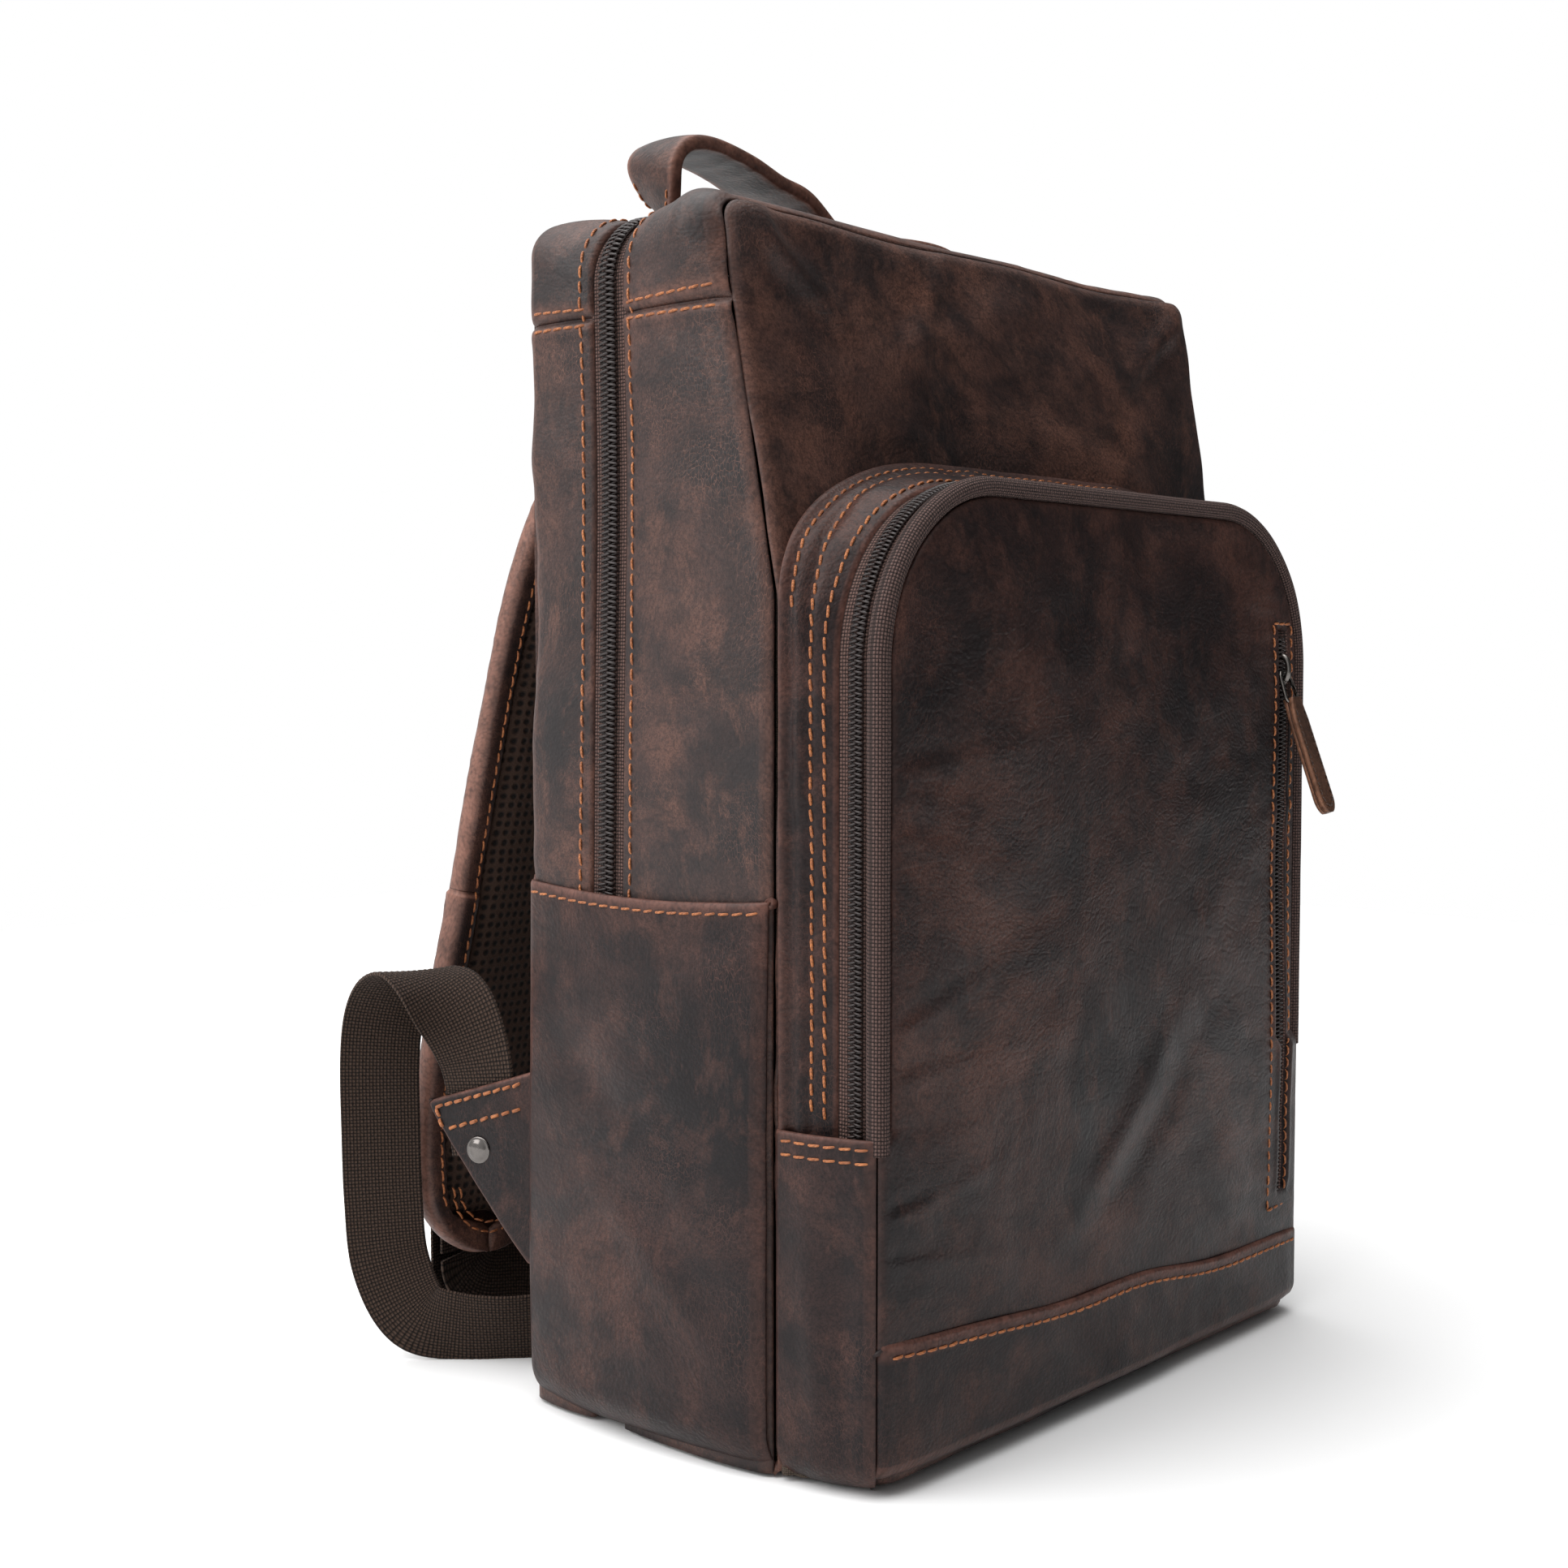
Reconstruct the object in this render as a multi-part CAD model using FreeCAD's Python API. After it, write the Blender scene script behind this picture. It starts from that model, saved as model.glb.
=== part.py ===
"""Leather laptop backpack: a soft box of leather panels with a long top zip, a zipped front pocket
that folds open, a narrow upright zip on that pocket, two slip pockets at the sides, a carry handle
and two padded shoulder straps with webbing adjusters.

Frame: millimetres, +Z up, front towards -Y, wearer's back towards +Y. The origin is the middle of the
flat base, on the surface that the bag stands on. Each function makes one sub-part or a small family.
"""

import FreeCAD
import Part
import math
import os

V = FreeCAD.Vector

# ---- driving dimensions -------------------------------------------------------------------------
HALF_WIDTH = 144.0        # main body, half of its width
TOP = 422.0               # top of the main body
CORNER_R = 24.0           # rounding of the body's two upper corners, seen from the front
BACK_Y = 78.0             # outer face of the back panel
FRONT_Y = -41.0           # outer face of the main front panel, below its knee
KNEE_Z = 290.0            # above this height the front panel leans back
FRONT_TOP_Y = -16.0       # outer face of the front panel at the top edge
LEATHER = 3.0             # leather with its backing
GAP = 0.4                 # clearance between bodies that move apart

ZIP_Y = 36.0              # centre line of the main zip
ZIP_SLOT = 16.0           # exposed width between the two leather edges
ZIP_END_Z = 176.0         # lower ends of the main zip
YOKE_Z = 387.0            # seam between side strips and top strips
TAPE = 1.0                # zip tape thickness
COIL_H = 2.2              # coil height above the tape
COIL_W = 3.6              # width of one half of the coil

POCKET_FRONT_Y = -79.0    # outer face of the front pocket
POCKET_TOP = 337.0        # pocket's top where it joins the body
POCKET_HALF = 143.0       # pocket's half width where it joins the body
POCKET_FRONT_HALF = 134.0 # pocket's half width at its front face
POCKET_FRONT_TOP = 326.0
POCKET_R = 62.0           # rounding of the pocket's upper corners
POCKET_ZIP_Y = -68.0      # centre line of the pocket's zip
WELT = 1.2                # the welt stands this far out from the front panel
POCKET_EDGE_Y = -60.0     # front edge of the pocket's leather side
FOLD_Z = 142.0            # the pocket's front folds forward at this height
HEM_Z = 120.0             # hem of the leather that wraps the pocket's lower part
BAND_TOP = 45.0           # top of the leather band along the pocket's foot

MOUTH_Z = 345.0           # the upper front folds forward at this height
MOUTH_REAR_Z = 345.0      # where that fold meets the main zip

FRONT_ZIP_X = 116.0       # upright zip on the pocket's front
FRONT_ZIP_LOW = 52.0
FRONT_ZIP_TOP = 282.0
FRONT_ZIP_SLOT = 10.0

SIDE_POCKET_TOP = 190.0
SIDE_POCKET_OUT = 11.5    # how far a side pocket stands out from the body
WEBBING_W = 30.0
WEBBING_T = 1.8
STRAP_T = 11.0            # shoulder strap, all its layers


# ---- small tools --------------------------------------------------------------------------------
def save(name, *solids):
    """Writes one node's file from one or more solids."""
    flat = []
    for shape in solids:
        flat += shape.Solids
    shape = flat[0] if len(flat) == 1 else Part.makeCompound(flat)
    for solid in flat:
        if not solid.isValid() or solid.Volume <= 0:
            print("check", name, solid.isValid(), round(solid.Volume, 2))
    shape.exportStep("parts/" + name + ".step")


def box(x0, x1, y0, y1, z0, z1):
    return Part.makeBox(x1 - x0, y1 - y0, z1 - z0, V(x0, y0, z0))


def prism(points, direction):
    """Extrudes a flat polygon."""
    return Part.Face(Part.makePolygon(points + [points[0]])).extrude(direction)


def prism_x(yz, x0, x1):
    return prism([V(x0, y, z) for y, z in yz], V(x1 - x0, 0, 0))


def prism_z(xy, z0, z1):
    return prism([V(x, y, z0) for x, y in xy], V(0, 0, z1 - z0))


def arch_wire(half, top, radius, bottom, y):
    """An upright rectangle in the plane of one y, with its two upper corners rounded."""
    low_left, low_right = V(-half, y, bottom), V(half, y, bottom)
    left, right = V(-half, y, top - radius), V(half, y, top - radius)
    top_left, top_right = V(-half + radius, y, top), V(half - radius, y, top)
    bend = radius * (1 - math.sqrt(0.5))
    mid_left, mid_right = V(-half + bend, y, top - bend), V(half - bend, y, top - bend)
    edges = [
        Part.LineSegment(low_left, left).toShape(),
        Part.Arc(left, mid_left, top_left).toShape(),
        Part.LineSegment(top_left, top_right).toShape(),
        Part.Arc(top_right, mid_right, right).toShape(),
        Part.LineSegment(right, low_right).toShape(),
        Part.LineSegment(low_right, low_left).toShape(),
    ]
    return Part.Wire(edges)


def arch_plate(half, top, radius, bottom, y0, y1):
    return Part.Face(arch_wire(half, top, radius, bottom, y0)).extrude(V(0, y1 - y0, 0))


def arch_ring(half, top, radius, bottom, inset, thickness, y0, y1):
    """The wall that follows an arch: up one side, over the top and down the other."""
    outer = arch_plate(half - inset, top - inset, radius - inset, bottom, y0, y1)
    deep = inset + thickness
    inner = arch_plate(half - deep, top - deep, radius - deep, bottom - 10, y0 - 1, y1 + 1)
    return outer.cut(inner)


def body_ring(inset, thickness, y0, y1, bottom=LEATHER):
    return arch_ring(HALF_WIDTH, TOP, CORNER_R, bottom, inset, thickness, y0, y1)


def front_y(z):
    """The outer face of the main front panel at height z."""
    if z <= KNEE_Z:
        return FRONT_Y
    return FRONT_Y + (FRONT_TOP_Y - FRONT_Y) * (z - KNEE_Z) / (TOP - KNEE_Z)


def behind_front(depth):
    """Everything behind the front panel's outer face, by at least depth."""
    lean = front_y(TOP + 20) + depth
    yz = [(FRONT_Y + depth, -20), (FRONT_Y + depth, KNEE_Z), (lean, TOP + 20), (140, TOP + 20), (140, -20)]
    return prism_x(yz, -200, 200)


def mouth_cut_z(y):
    """Height of the cut between the fixed body and the part that folds forward."""
    start_y = front_y(MOUTH_Z)
    return MOUTH_Z + (MOUTH_REAR_Z - MOUTH_Z) * (y - start_y) / (ZIP_Y - start_y)


def mouth_region(upper):
    """The space above or below that cut, in front of the main zip's centre line."""
    y0, y1 = -120.0, ZIP_Y
    if upper:
        yz = [(y0, mouth_cut_z(y0) + GAP), (y1, mouth_cut_z(y1) + GAP), (y1, 500), (y0, 500)]
    else:
        yz = [(y0, mouth_cut_z(y0)), (y1, mouth_cut_z(y1)), (y1, -20), (y0, -20)]
    return prism_x(yz, -200, 200)


UPPER = mouth_region(True)
LOWER = mouth_region(False)
BELOW_YOKE = box(-200, 200, -200, 200, -20, YOKE_Z)
ABOVE_YOKE = box(-200, 200, -200, 200, YOKE_Z, 500)
LEFT = box(-200, 0, -200, 200, -20, 500)
RIGHT = box(0, 200, -200, 200, -20, 500)


def unit(v):
    return v.multiply(1.0 / v.Length) if v.Length else v


def triangle(a, b, c):
    return Part.Face(Part.makePolygon([a, b, c, a]))


def ribbon(stations, width, low, high, skip=0):
    """A flat strip through stations of (point, direction across the strip, width factor).
    low and high are the distances of its two faces from the line, along the strip's own normal.
    It leaves out the first and last skip stations.
    Its twisted faces are split into flat triangles."""
    rings = []
    count = len(stations)
    for i, (point, across, factor) in enumerate(stations):
        before, after = stations[max(i - 1, 0)][0], stations[min(i + 1, count - 1)][0]
        along = unit(after.sub(before))
        side = unit(across.sub(V(along).multiply(along.dot(across))))
        normal = side.cross(along)
        half = width * factor / 2
        rings.append([point.add(V(side).multiply(a)).add(V(normal).multiply(b))
                      for a, b in ((-half, low), (half, low), (half, high), (-half, high))])
    rings = rings[skip:count - skip]
    faces = []
    for one, two in zip(rings, rings[1:]):
        for k in range(4):
            a, b, c, d = one[k], one[(k + 1) % 4], two[(k + 1) % 4], two[k]
            faces += [triangle(a, b, c), triangle(a, c, d)]
    for a, b, c, d in (rings[0], rings[-1]):
        faces += [triangle(a, b, c), triangle(a, c, d)]
    strip = Part.Solid(Part.Shell(faces))
    return strip if strip.Volume > 0 else strip.reversed()


def mirrored(shape):
    return shape.mirror(V(0, 0, 0), V(1, 0, 0))


# ---- main body ----------------------------------------------------------------------------------
def back():
    save("back_panel", arch_plate(HALF_WIDTH, TOP, CORNER_R, LEATHER, BACK_Y - LEATHER, BACK_Y))
    save("back_foam", arch_plate(126, 402, 16, 12, 70, BACK_Y - LEATHER))
    pad = arch_plate(108, 362, 30, 44, BACK_Y, BACK_Y + 5)
    groove = box(-3, 3, BACK_Y, BACK_Y + 6, 40, 370)
    save("back_mesh_pad", pad.cut(groove))


def rear_gusset():
    """The strips between the main zip and the back panel."""
    ring = body_ring(0, LEATHER, ZIP_Y + ZIP_SLOT / 2, BACK_Y - LEATHER)
    save("gusset_rear", ring.common(LEFT).common(BELOW_YOKE), ring.common(RIGHT).common(BELOW_YOKE))
    save("top_strip_rear", ring.common(ABOVE_YOKE))


def front_gusset():
    """The strips between the main zip and the front panel, cut where the mouth folds open."""
    ring = body_ring(0, LEATHER, -60, ZIP_Y - ZIP_SLOT / 2).common(behind_front(LEATHER))
    lower, upper = ring.common(LOWER), ring.common(UPPER)
    save("gusset_front_left", lower.common(LEFT))
    save("gusset_front_right", lower.common(RIGHT))
    save("gusset_front_upper", upper.common(BELOW_YOKE))
    save("top_strip_front", upper.common(ABOVE_YOKE))


def front_panel():
    sheet = arch_plate(HALF_WIDTH, TOP, CORNER_R, LEATHER, -60, 60)
    sheet = sheet.common(behind_front(0)).cut(behind_front(LEATHER))
    save("front_panel_lower", sheet.common(LOWER))
    save("front_panel_upper", sheet.common(UPPER))


def base():
    save("base_panel", box(-HALF_WIDTH, HALF_WIDTH, FRONT_Y, BACK_Y, 0, LEATHER))
    save("base_board", box(-134, 134, -36, 66, LEATHER, LEATHER + 2.5))


def linings():
    """Thin cloth on the inside of the walls. It is open along the zip."""
    wall = body_ring(LEATHER, 1.0, FRONT_Y + LEATHER, 69, bottom=5.5).common(behind_front(LEATHER))
    slot_edge = ZIP_Y - ZIP_SLOT / 2
    ahead = box(-200, 200, -200, slot_edge, 0, 500)
    rear = wall.common(box(-200, 200, ZIP_Y + ZIP_SLOT / 2, 200, 0, 500))
    foot = wall.common(box(-200, 200, slot_edge, ZIP_Y + ZIP_SLOT / 2, 0, ZIP_END_Z - 2))
    front = wall.common(ahead).common(LOWER)
    back_sheet = arch_plate(141, 419, 21, 5.5, 69, 70)
    floor = box(-140, 140, -37, 69, 5.5, 6.5)
    front_sheet = arch_plate(140, 418, 20, 5.5, -60, 60)
    front_sheet = front_sheet.common(behind_front(LEATHER)).cut(behind_front(LEATHER + 1))
    root = rear.fuse([foot, front, back_sheet, floor, front_sheet.common(LOWER)])
    save("main_lining", root.removeSplitter())
    mouth = wall.common(ahead).common(UPPER).fuse(front_sheet.common(UPPER))
    save("mouth_lining", mouth.removeSplitter())


def laptop_sleeve():
    save("laptop_sleeve", arch_plate(124, 272, 12, 6.5, 56, 62))


def main_zip():
    """Two stringers, each a tape with its half of the coil. The front one is cut with the mouth."""
    side = ZIP_SLOT / 2
    coil_inset = TAPE - COIL_H
    tape_rear = body_ring(TAPE, TAPE, ZIP_Y + 0.2, ZIP_Y + side - 0.2, bottom=ZIP_END_Z)
    coil_rear = body_ring(coil_inset, COIL_H, ZIP_Y + 0.2, ZIP_Y + COIL_W, bottom=ZIP_END_Z)
    save("main_zip_rear", tape_rear.fuse(coil_rear))
    tape_front = body_ring(TAPE, TAPE, ZIP_Y - side + 0.2, ZIP_Y - 0.2, bottom=ZIP_END_Z)
    coil_front = body_ring(coil_inset, COIL_H, ZIP_Y - COIL_W, ZIP_Y - 0.2, bottom=ZIP_END_Z)
    front = tape_front.fuse(coil_front)
    save("main_zip_front_lower", front.common(LOWER))
    save("main_zip_front_upper", front.common(UPPER))


def side_pocket():
    """A slip pocket: an outer skin that stands off the side, closed at its foot, open at its top."""
    edge, out, skin = HALF_WIDTH, HALF_WIDTH + SIDE_POCKET_OUT, 2.0
    outer = [(-edge, -40), (-out + 1, -28), (-out, 50), (-edge, 73)]
    inner = [(-edge, -36.5), (-out + 1 + skin, -27), (-out + skin, 49), (-edge, 69)]
    shell = prism_z(outer, LEATHER, SIDE_POCKET_TOP).cut(prism_z(inner, 5, SIDE_POCKET_TOP + 1))
    save("side_pocket_left", shell)
    save("side_pocket_right", mirrored(shell))


# ---- front pocket -------------------------------------------------------------------------------
def pocket_loft(inset, bottom, y0, y1, half0, half1, top0, top1):
    """A closed block between two arches, smaller towards the front."""
    rear = arch_wire(half0 - inset, top0 - inset, POCKET_R - inset, bottom, y0)
    front = arch_wire(half1 - inset, top1 - inset, POCKET_R - inset, bottom, y1)
    return Part.makeLoft([rear, front], True, True)


def pocket_sides():
    """The pocket's leather wall, its welt on the body, and the piece that wraps its foot."""
    rear_y = -26.0
    slope_half, slope_top = 0.33, 0.45
    run = rear_y - POCKET_EDGE_Y
    half, top = 137.0, POCKET_TOP - 8
    rear_half, rear_top = half + slope_half * run, top + slope_top * run
    wall = pocket_loft(0, HEM_Z, rear_y, POCKET_EDGE_Y, rear_half, half, rear_top, top)
    over = 2.0
    hollow = pocket_loft(LEATHER, HEM_Z - 5, rear_y + over, POCKET_EDGE_Y - over, rear_half + slope_half * over,
                         half - slope_half * over, rear_top + slope_top * over, top - slope_top * over)
    ahead = box(-200, 200, -200, 60, -20, 500).cut(behind_front(-WELT - 0.2))
    save("pocket_gusset", wall.cut(hollow).common(ahead))
    welt = arch_ring(POCKET_HALF, POCKET_TOP + 3, POCKET_R + 3, HEM_Z, 0, 12, -60, 60)
    welt = welt.common(behind_front(-WELT)).cut(behind_front(0))
    save("pocket_welt", welt)
    lower = pocket_loft(0, 0, FRONT_Y, POCKET_FRONT_Y + LEATHER, POCKET_HALF, POCKET_FRONT_HALF + 1, 300, 300)
    inside = pocket_loft(LEATHER, LEATHER, FRONT_Y + 2, POCKET_FRONT_Y, POCKET_HALF, POCKET_FRONT_HALF + 1, 300, 300)
    save("pocket_wrap", lower.cut(inside).common(box(-200, 200, -200, FRONT_Y, -1, HEM_Z - 0.2)))


def pocket_front():
    """The pocket's front: a fixed foot with its band, and the flap that folds forward."""
    face = arch_plate(POCKET_FRONT_HALF, POCKET_FRONT_TOP, POCKET_R, 0, POCKET_FRONT_Y, POCKET_FRONT_Y + LEATHER)
    half_slot = FRONT_ZIP_SLOT / 2
    slot = box(FRONT_ZIP_X - half_slot, FRONT_ZIP_X + half_slot, -90, -60, FRONT_ZIP_LOW, FRONT_ZIP_TOP)
    face = face.cut(slot)
    save("pocket_front_lower", face.common(box(-200, 200, -200, 200, BAND_TOP, FOLD_Z - GAP)))
    save("pocket_band", face.common(box(-200, 200, -200, 200, 0, BAND_TOP - 0.1)))
    save("flap_panel", face.common(box(-200, 200, -200, 200, FOLD_Z, 400)))
    piping = arch_ring(POCKET_FRONT_HALF + 3.2, POCKET_FRONT_TOP + 3.2, POCKET_R + 3.2, FOLD_Z, 0, 3.15,
                       POCKET_FRONT_Y + 0.4, POCKET_FRONT_Y + LEATHER - 0.1)
    save("flap_piping", piping)
    lining = arch_plate(124, 316, 52, FOLD_Z + 4, POCKET_FRONT_Y + 5.2, POCKET_FRONT_Y + 6.4)
    save("flap_lining", lining)


def pocket_inside():
    """Cloth on the pocket's inside walls, and the organiser sewn to the body inside the pocket."""
    outer = arch_plate(132, 322, 58, HEM_Z + 1, -59.5, FRONT_Y - 2.6)
    inner = arch_plate(131, 321, 57, HEM_Z - 5, -62, -35)
    foot_outer = box(-130, 130, -72, FRONT_Y - 2.6, LEATHER + 0.5, HEM_Z)
    foot_inner = box(-129, 129, -75, -35, LEATHER + 1.5, HEM_Z + 5)
    sides = outer.cut(inner).fuse(foot_outer.cut(foot_inner))
    save("pocket_lining", sides)
    sheet = arch_plate(112, 205, 8, 12, FRONT_Y - 4.4, FRONT_Y - 2.8)
    loops = [box(x, x + 16, FRONT_Y - 7.4, FRONT_Y - 4.4, 110, 195) for x in (-96, -72, -48)]
    card = box(-14, 98, FRONT_Y - 6.0, FRONT_Y - 4.4, 90, 180)
    save("organizer_panel", sheet.fuse(loops + [card]))


def pocket_zip():
    """The pocket's zip: one stringer on the wall, one on the flap, below the fold both fixed."""
    half, top, radius = 136.6, 328.6, POCKET_R
    gap = 0.2

    def stringer(y_coil, y_edge, bottom):
        low, high = sorted((y_coil, y_edge))
        tape = arch_ring(half, top, radius, bottom, TAPE, TAPE, low, high)
        a, b = sorted((y_coil, y_coil + math.copysign(2.8, y_edge - y_coil)))
        coil = arch_ring(half, top, radius, bottom, TAPE - 1.8, 1.8, a, b)
        return tape.fuse(coil)

    rear = stringer(POCKET_ZIP_Y + gap, POCKET_EDGE_Y - gap, HEM_Z)
    front = stringer(POCKET_ZIP_Y - gap, POCKET_FRONT_Y + LEATHER + gap, HEM_Z)
    save("pocket_zip_rear", rear, front.common(box(-200, 200, -200, 0, 0, FOLD_Z - GAP)))
    save("flap_zip", front.common(box(-200, 200, -200, 0, FOLD_Z, 400)))


def front_zip():
    """The upright zip, cut where the flap folds."""
    y0 = POCKET_FRONT_Y + LEATHER
    tape = box(FRONT_ZIP_X - 11, FRONT_ZIP_X + 11, y0, y0 + TAPE, FRONT_ZIP_LOW - 4, FRONT_ZIP_TOP + 4)
    coil = box(FRONT_ZIP_X - 2.8, FRONT_ZIP_X + 2.8, y0 - 1.8, y0, FRONT_ZIP_LOW, FRONT_ZIP_TOP)
    whole = tape.fuse(coil)
    save("front_zip_lower", whole.common(box(-200, 200, -200, 200, 0, FOLD_Z - GAP)))
    upper = whole.common(box(-200, 200, -200, 200, FOLD_Z, 400))
    save("front_zip_upper", upper)


# ---- sliders and pulls --------------------------------------------------------------------------
BRIDGE_Y = -7.0           # in a slider's own frame: centre of the hole that the pull's ring hangs in
RING_Z = -2.0


def slider_shape(coil_half, coil_top):
    """A zip slider, its travel along Z and its outer face towards -Y. The tape's back is at y = 0."""
    inner, outer = coil_half + 0.6, coil_half + 1.6
    cap_in, cap_out = -(coil_top + 0.4), -(coil_top + 1.8)
    cap = box(-outer, outer, cap_out, cap_in, -8, 8)
    sides = [box(x, x + 1.0, cap_in, -(TAPE + 0.25), -8, 8) for x in (-outer, inner)]
    bar_in = BRIDGE_Y - 1.5
    posts = [box(-1.2, 1.2, bar_in, cap_out, z, z + 1.4) for z in (-5.6, 4.2)]
    bar = box(-1.2, 1.2, bar_in - 1.2, bar_in, -5.6, 5.6)
    return cap.fuse(sides + posts + [bar])


def pull_shape(length):
    """A flat wire ring with a two-ply leather tab folded round it, hanging straight down."""
    wire = 0.7
    z_top, z_low = RING_Z + wire, RING_Z - 12
    y0, y1 = BRIDGE_Y - wire, BRIDGE_Y + wire
    ring = box(-5.2, 5.2, y0, y1, z_low, z_top)
    ring = ring.cut(box(-3.8, 3.8, y0 - 1, y1 + 1, z_low + 2 * wire, z_top - 2 * wire))
    tab_top = z_low + 2 * wire + 1.6
    tab = box(-5.5, 5.5, BRIDGE_Y - 1.9, BRIDGE_Y + 1.9, tab_top - length, tab_top)
    window = box(-5.6, 5.6, y0 - 0.15, y1 + 0.15, z_low - 0.15, z_low + 2 * wire + 0.15)
    return ring, tab.cut(window)


def place(shape, turn, origin, tilt=0.0):
    """Tilts a shape about its ring, turns it about Z and moves it to its place on a zip."""
    copy = shape.copy()
    copy.rotate(V(0, BRIDGE_Y, RING_Z), V(1, 0, 0), tilt)
    copy.rotate(V(0, 0, 0), V(0, 0, 1), turn)
    copy.translate(origin)
    return copy


def sliders():
    tape_back = HALF_WIDTH - 2 * TAPE
    pocket_back = 136.6 - 2 * TAPE
    spots = {
        "main_slider_upper": (90, V(tape_back, ZIP_Y, 256), COIL_W, TAPE + COIL_H, -16, 46),
        "main_slider_lower": (90, V(tape_back, ZIP_Y, 226), COIL_W, TAPE + COIL_H, -16, 46),
        "pocket_slider": (90, V(pocket_back, POCKET_ZIP_Y, 130), 2.8, TAPE + 1.8, 0, 46),
        "front_slider": (0, V(FRONT_ZIP_X, POCKET_FRONT_Y + LEATHER + TAPE, 266), 2.8, TAPE + 1.8, -20, 48),
    }
    for name, (turn, origin, coil_half, coil_top, tilt, length) in spots.items():
        save(name, place(slider_shape(coil_half, coil_top), turn, origin))
        ring, tab = pull_shape(length)
        pull = name.replace("slider", "pull")
        save(pull, place(ring, turn, origin, tilt), place(tab, turn, origin, tilt))


# ---- carrying parts -----------------------------------------------------------------------------
def handle():
    """A wide leather loop. Its ends are flat in the top seam, and it twists to lie level in the hand."""
    level = V(0, 1, 0)
    left = [
        (V(-69, 76.5, TOP + 4.0), V(1, 0, 0), 0.80),
        (V(-70, 76.4, TOP + 10), V(0.95, 0.3, 0), 0.82),
        (V(-80, 74.5, TOP + 20), V(0.45, 0.9, 0), 0.93),
        (V(-85, 72, TOP + 31), level, 1.0),
        (V(-79, 72, TOP + 39), level, 1.0),
        (V(-65, 72, TOP + 41), level, 1.0),
        (V(-45, 72, TOP + 38), level, 1.0),
        (V(-28, 72, TOP + 33), level, 1.0),
        (V(-11, 72, TOP + 29), level, 1.0),
    ]
    right = [(V(-p.x, p.y, p.z), V(-b.x, b.y, b.z), f) for p, b, f in reversed(left)]
    stations = left + right
    save("handle", ribbon(stations, 28, 1.1, 2.9), ribbon(stations, 28, -2.9, -1.1))
    save("handle_core", ribbon(stations, 18, -0.9, 0.9, skip=4))


STRAP_LINE = [
    (-62, 86.0, 407, 0.72),
    (-66, 92.4, 382, 0.78),
    (-74, 106.0, 340, 0.92),
    (-80, 118.0, 300, 1.0),
    (-84, 128.5, 256, 1.0),
    (-87, 137.5, 212, 1.0),
    (-91, 144.5, 170, 0.98),
    (-98, 149.0, 128, 0.95),
    (-105, 149.5, 88, 0.92),
    (-110, 146.0, 56, 0.84),
    (-113, 141.5, 36, 0.50),
]
STRAP_WIDTH = 72.0


def strap_stations():
    return [(V(x, y, z), V(1, 0, 0), f) for x, y, z, f in STRAP_LINE]


def straps():
    """Leather outside, foam, and open mesh on the side that faces the wearer."""
    half = STRAP_T / 2
    for side, sign in (("left", 1), ("right", -1)):
        stations = [(V(sign * x, y, z), V(1, 0, 0), f) for x, y, z, f in STRAP_LINE]
        keeper = lock_keeper() if sign > 0 else mirrored(lock_keeper())
        save(f"strap_{side}_leather", ribbon(stations, STRAP_WIDTH, half - 2.0, half), keeper)
        save(f"strap_{side}_foam", ribbon(stations, STRAP_WIDTH - 3, -half + 3.2, half - 2.8))
        save(f"strap_{side}_mesh", ribbon(stations, STRAP_WIDTH, -half, -half + 2.5))


LOCK_X, LOCK_Y, LOCK_Z = -107.0, 159.6, 92.0
LOCK_T = 3.2              # thickness of the ladder lock
SLACK = 0.35              # between the adjuster and the lock


def ladder_lock():
    """A frame with three slots: the upper one for its keeper, the lower two for the adjuster."""
    y0, y1 = LOCK_Y - LOCK_T / 2, LOCK_Y + LOCK_T / 2
    plate = box(LOCK_X - 20, LOCK_X + 20, y0, y1, LOCK_Z - 17, LOCK_Z + 17)
    for low, high in ((-12, -5), (-1, 5), (8.5, 13)):
        plate = plate.cut(box(LOCK_X - 16.5, LOCK_X + 16.5, y0 - 1, y1 + 1, LOCK_Z + low, LOCK_Z + high))
    return plate.makeFillet(0.6, [e for e in plate.Edges if e.Length > 38])


def lock_keeper():
    """A leather loop on the strap that goes round the lock's top bar."""
    back, front, z = LOCK_Y - LOCK_T / 2, LOCK_Y + LOCK_T / 2, LOCK_Z
    outer = [(back - 2.7, z + 9), (front + 2.2, z + 9), (front + 2.2, z + 20), (back - 0.4, z + 34), (back - 2.7, z + 34)]
    inner = [(back - 0.4, z + 10.9), (front + 0.4, z + 10.9), (front + 0.4, z + 19.3), (back - 0.4, z + 29)]
    x0, x1 = LOCK_X - 13, LOCK_X + 13
    return prism_x(outer, x0, x1).cut(prism_x(inner, x0 - 1, x1 + 1))


def webbing_tail():
    """The end of the adjuster: up behind the lock, forward over its middle bar, and down outside."""
    back, front = LOCK_Y - LOCK_T / 2 - SLACK, LOCK_Y + LOCK_T / 2 + SLACK
    t, top = WEBBING_T, LOCK_Z - 1 + SLACK
    yz = [
        (back - t, 34), (back, 34), (back, top), (front, top), (front, 10),
        (front + t, 10), (front + t, top + t), (back - t, top + t),
    ]
    return prism_x(yz, LOCK_X - WEBBING_W / 2, LOCK_X + WEBBING_W / 2)


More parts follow.
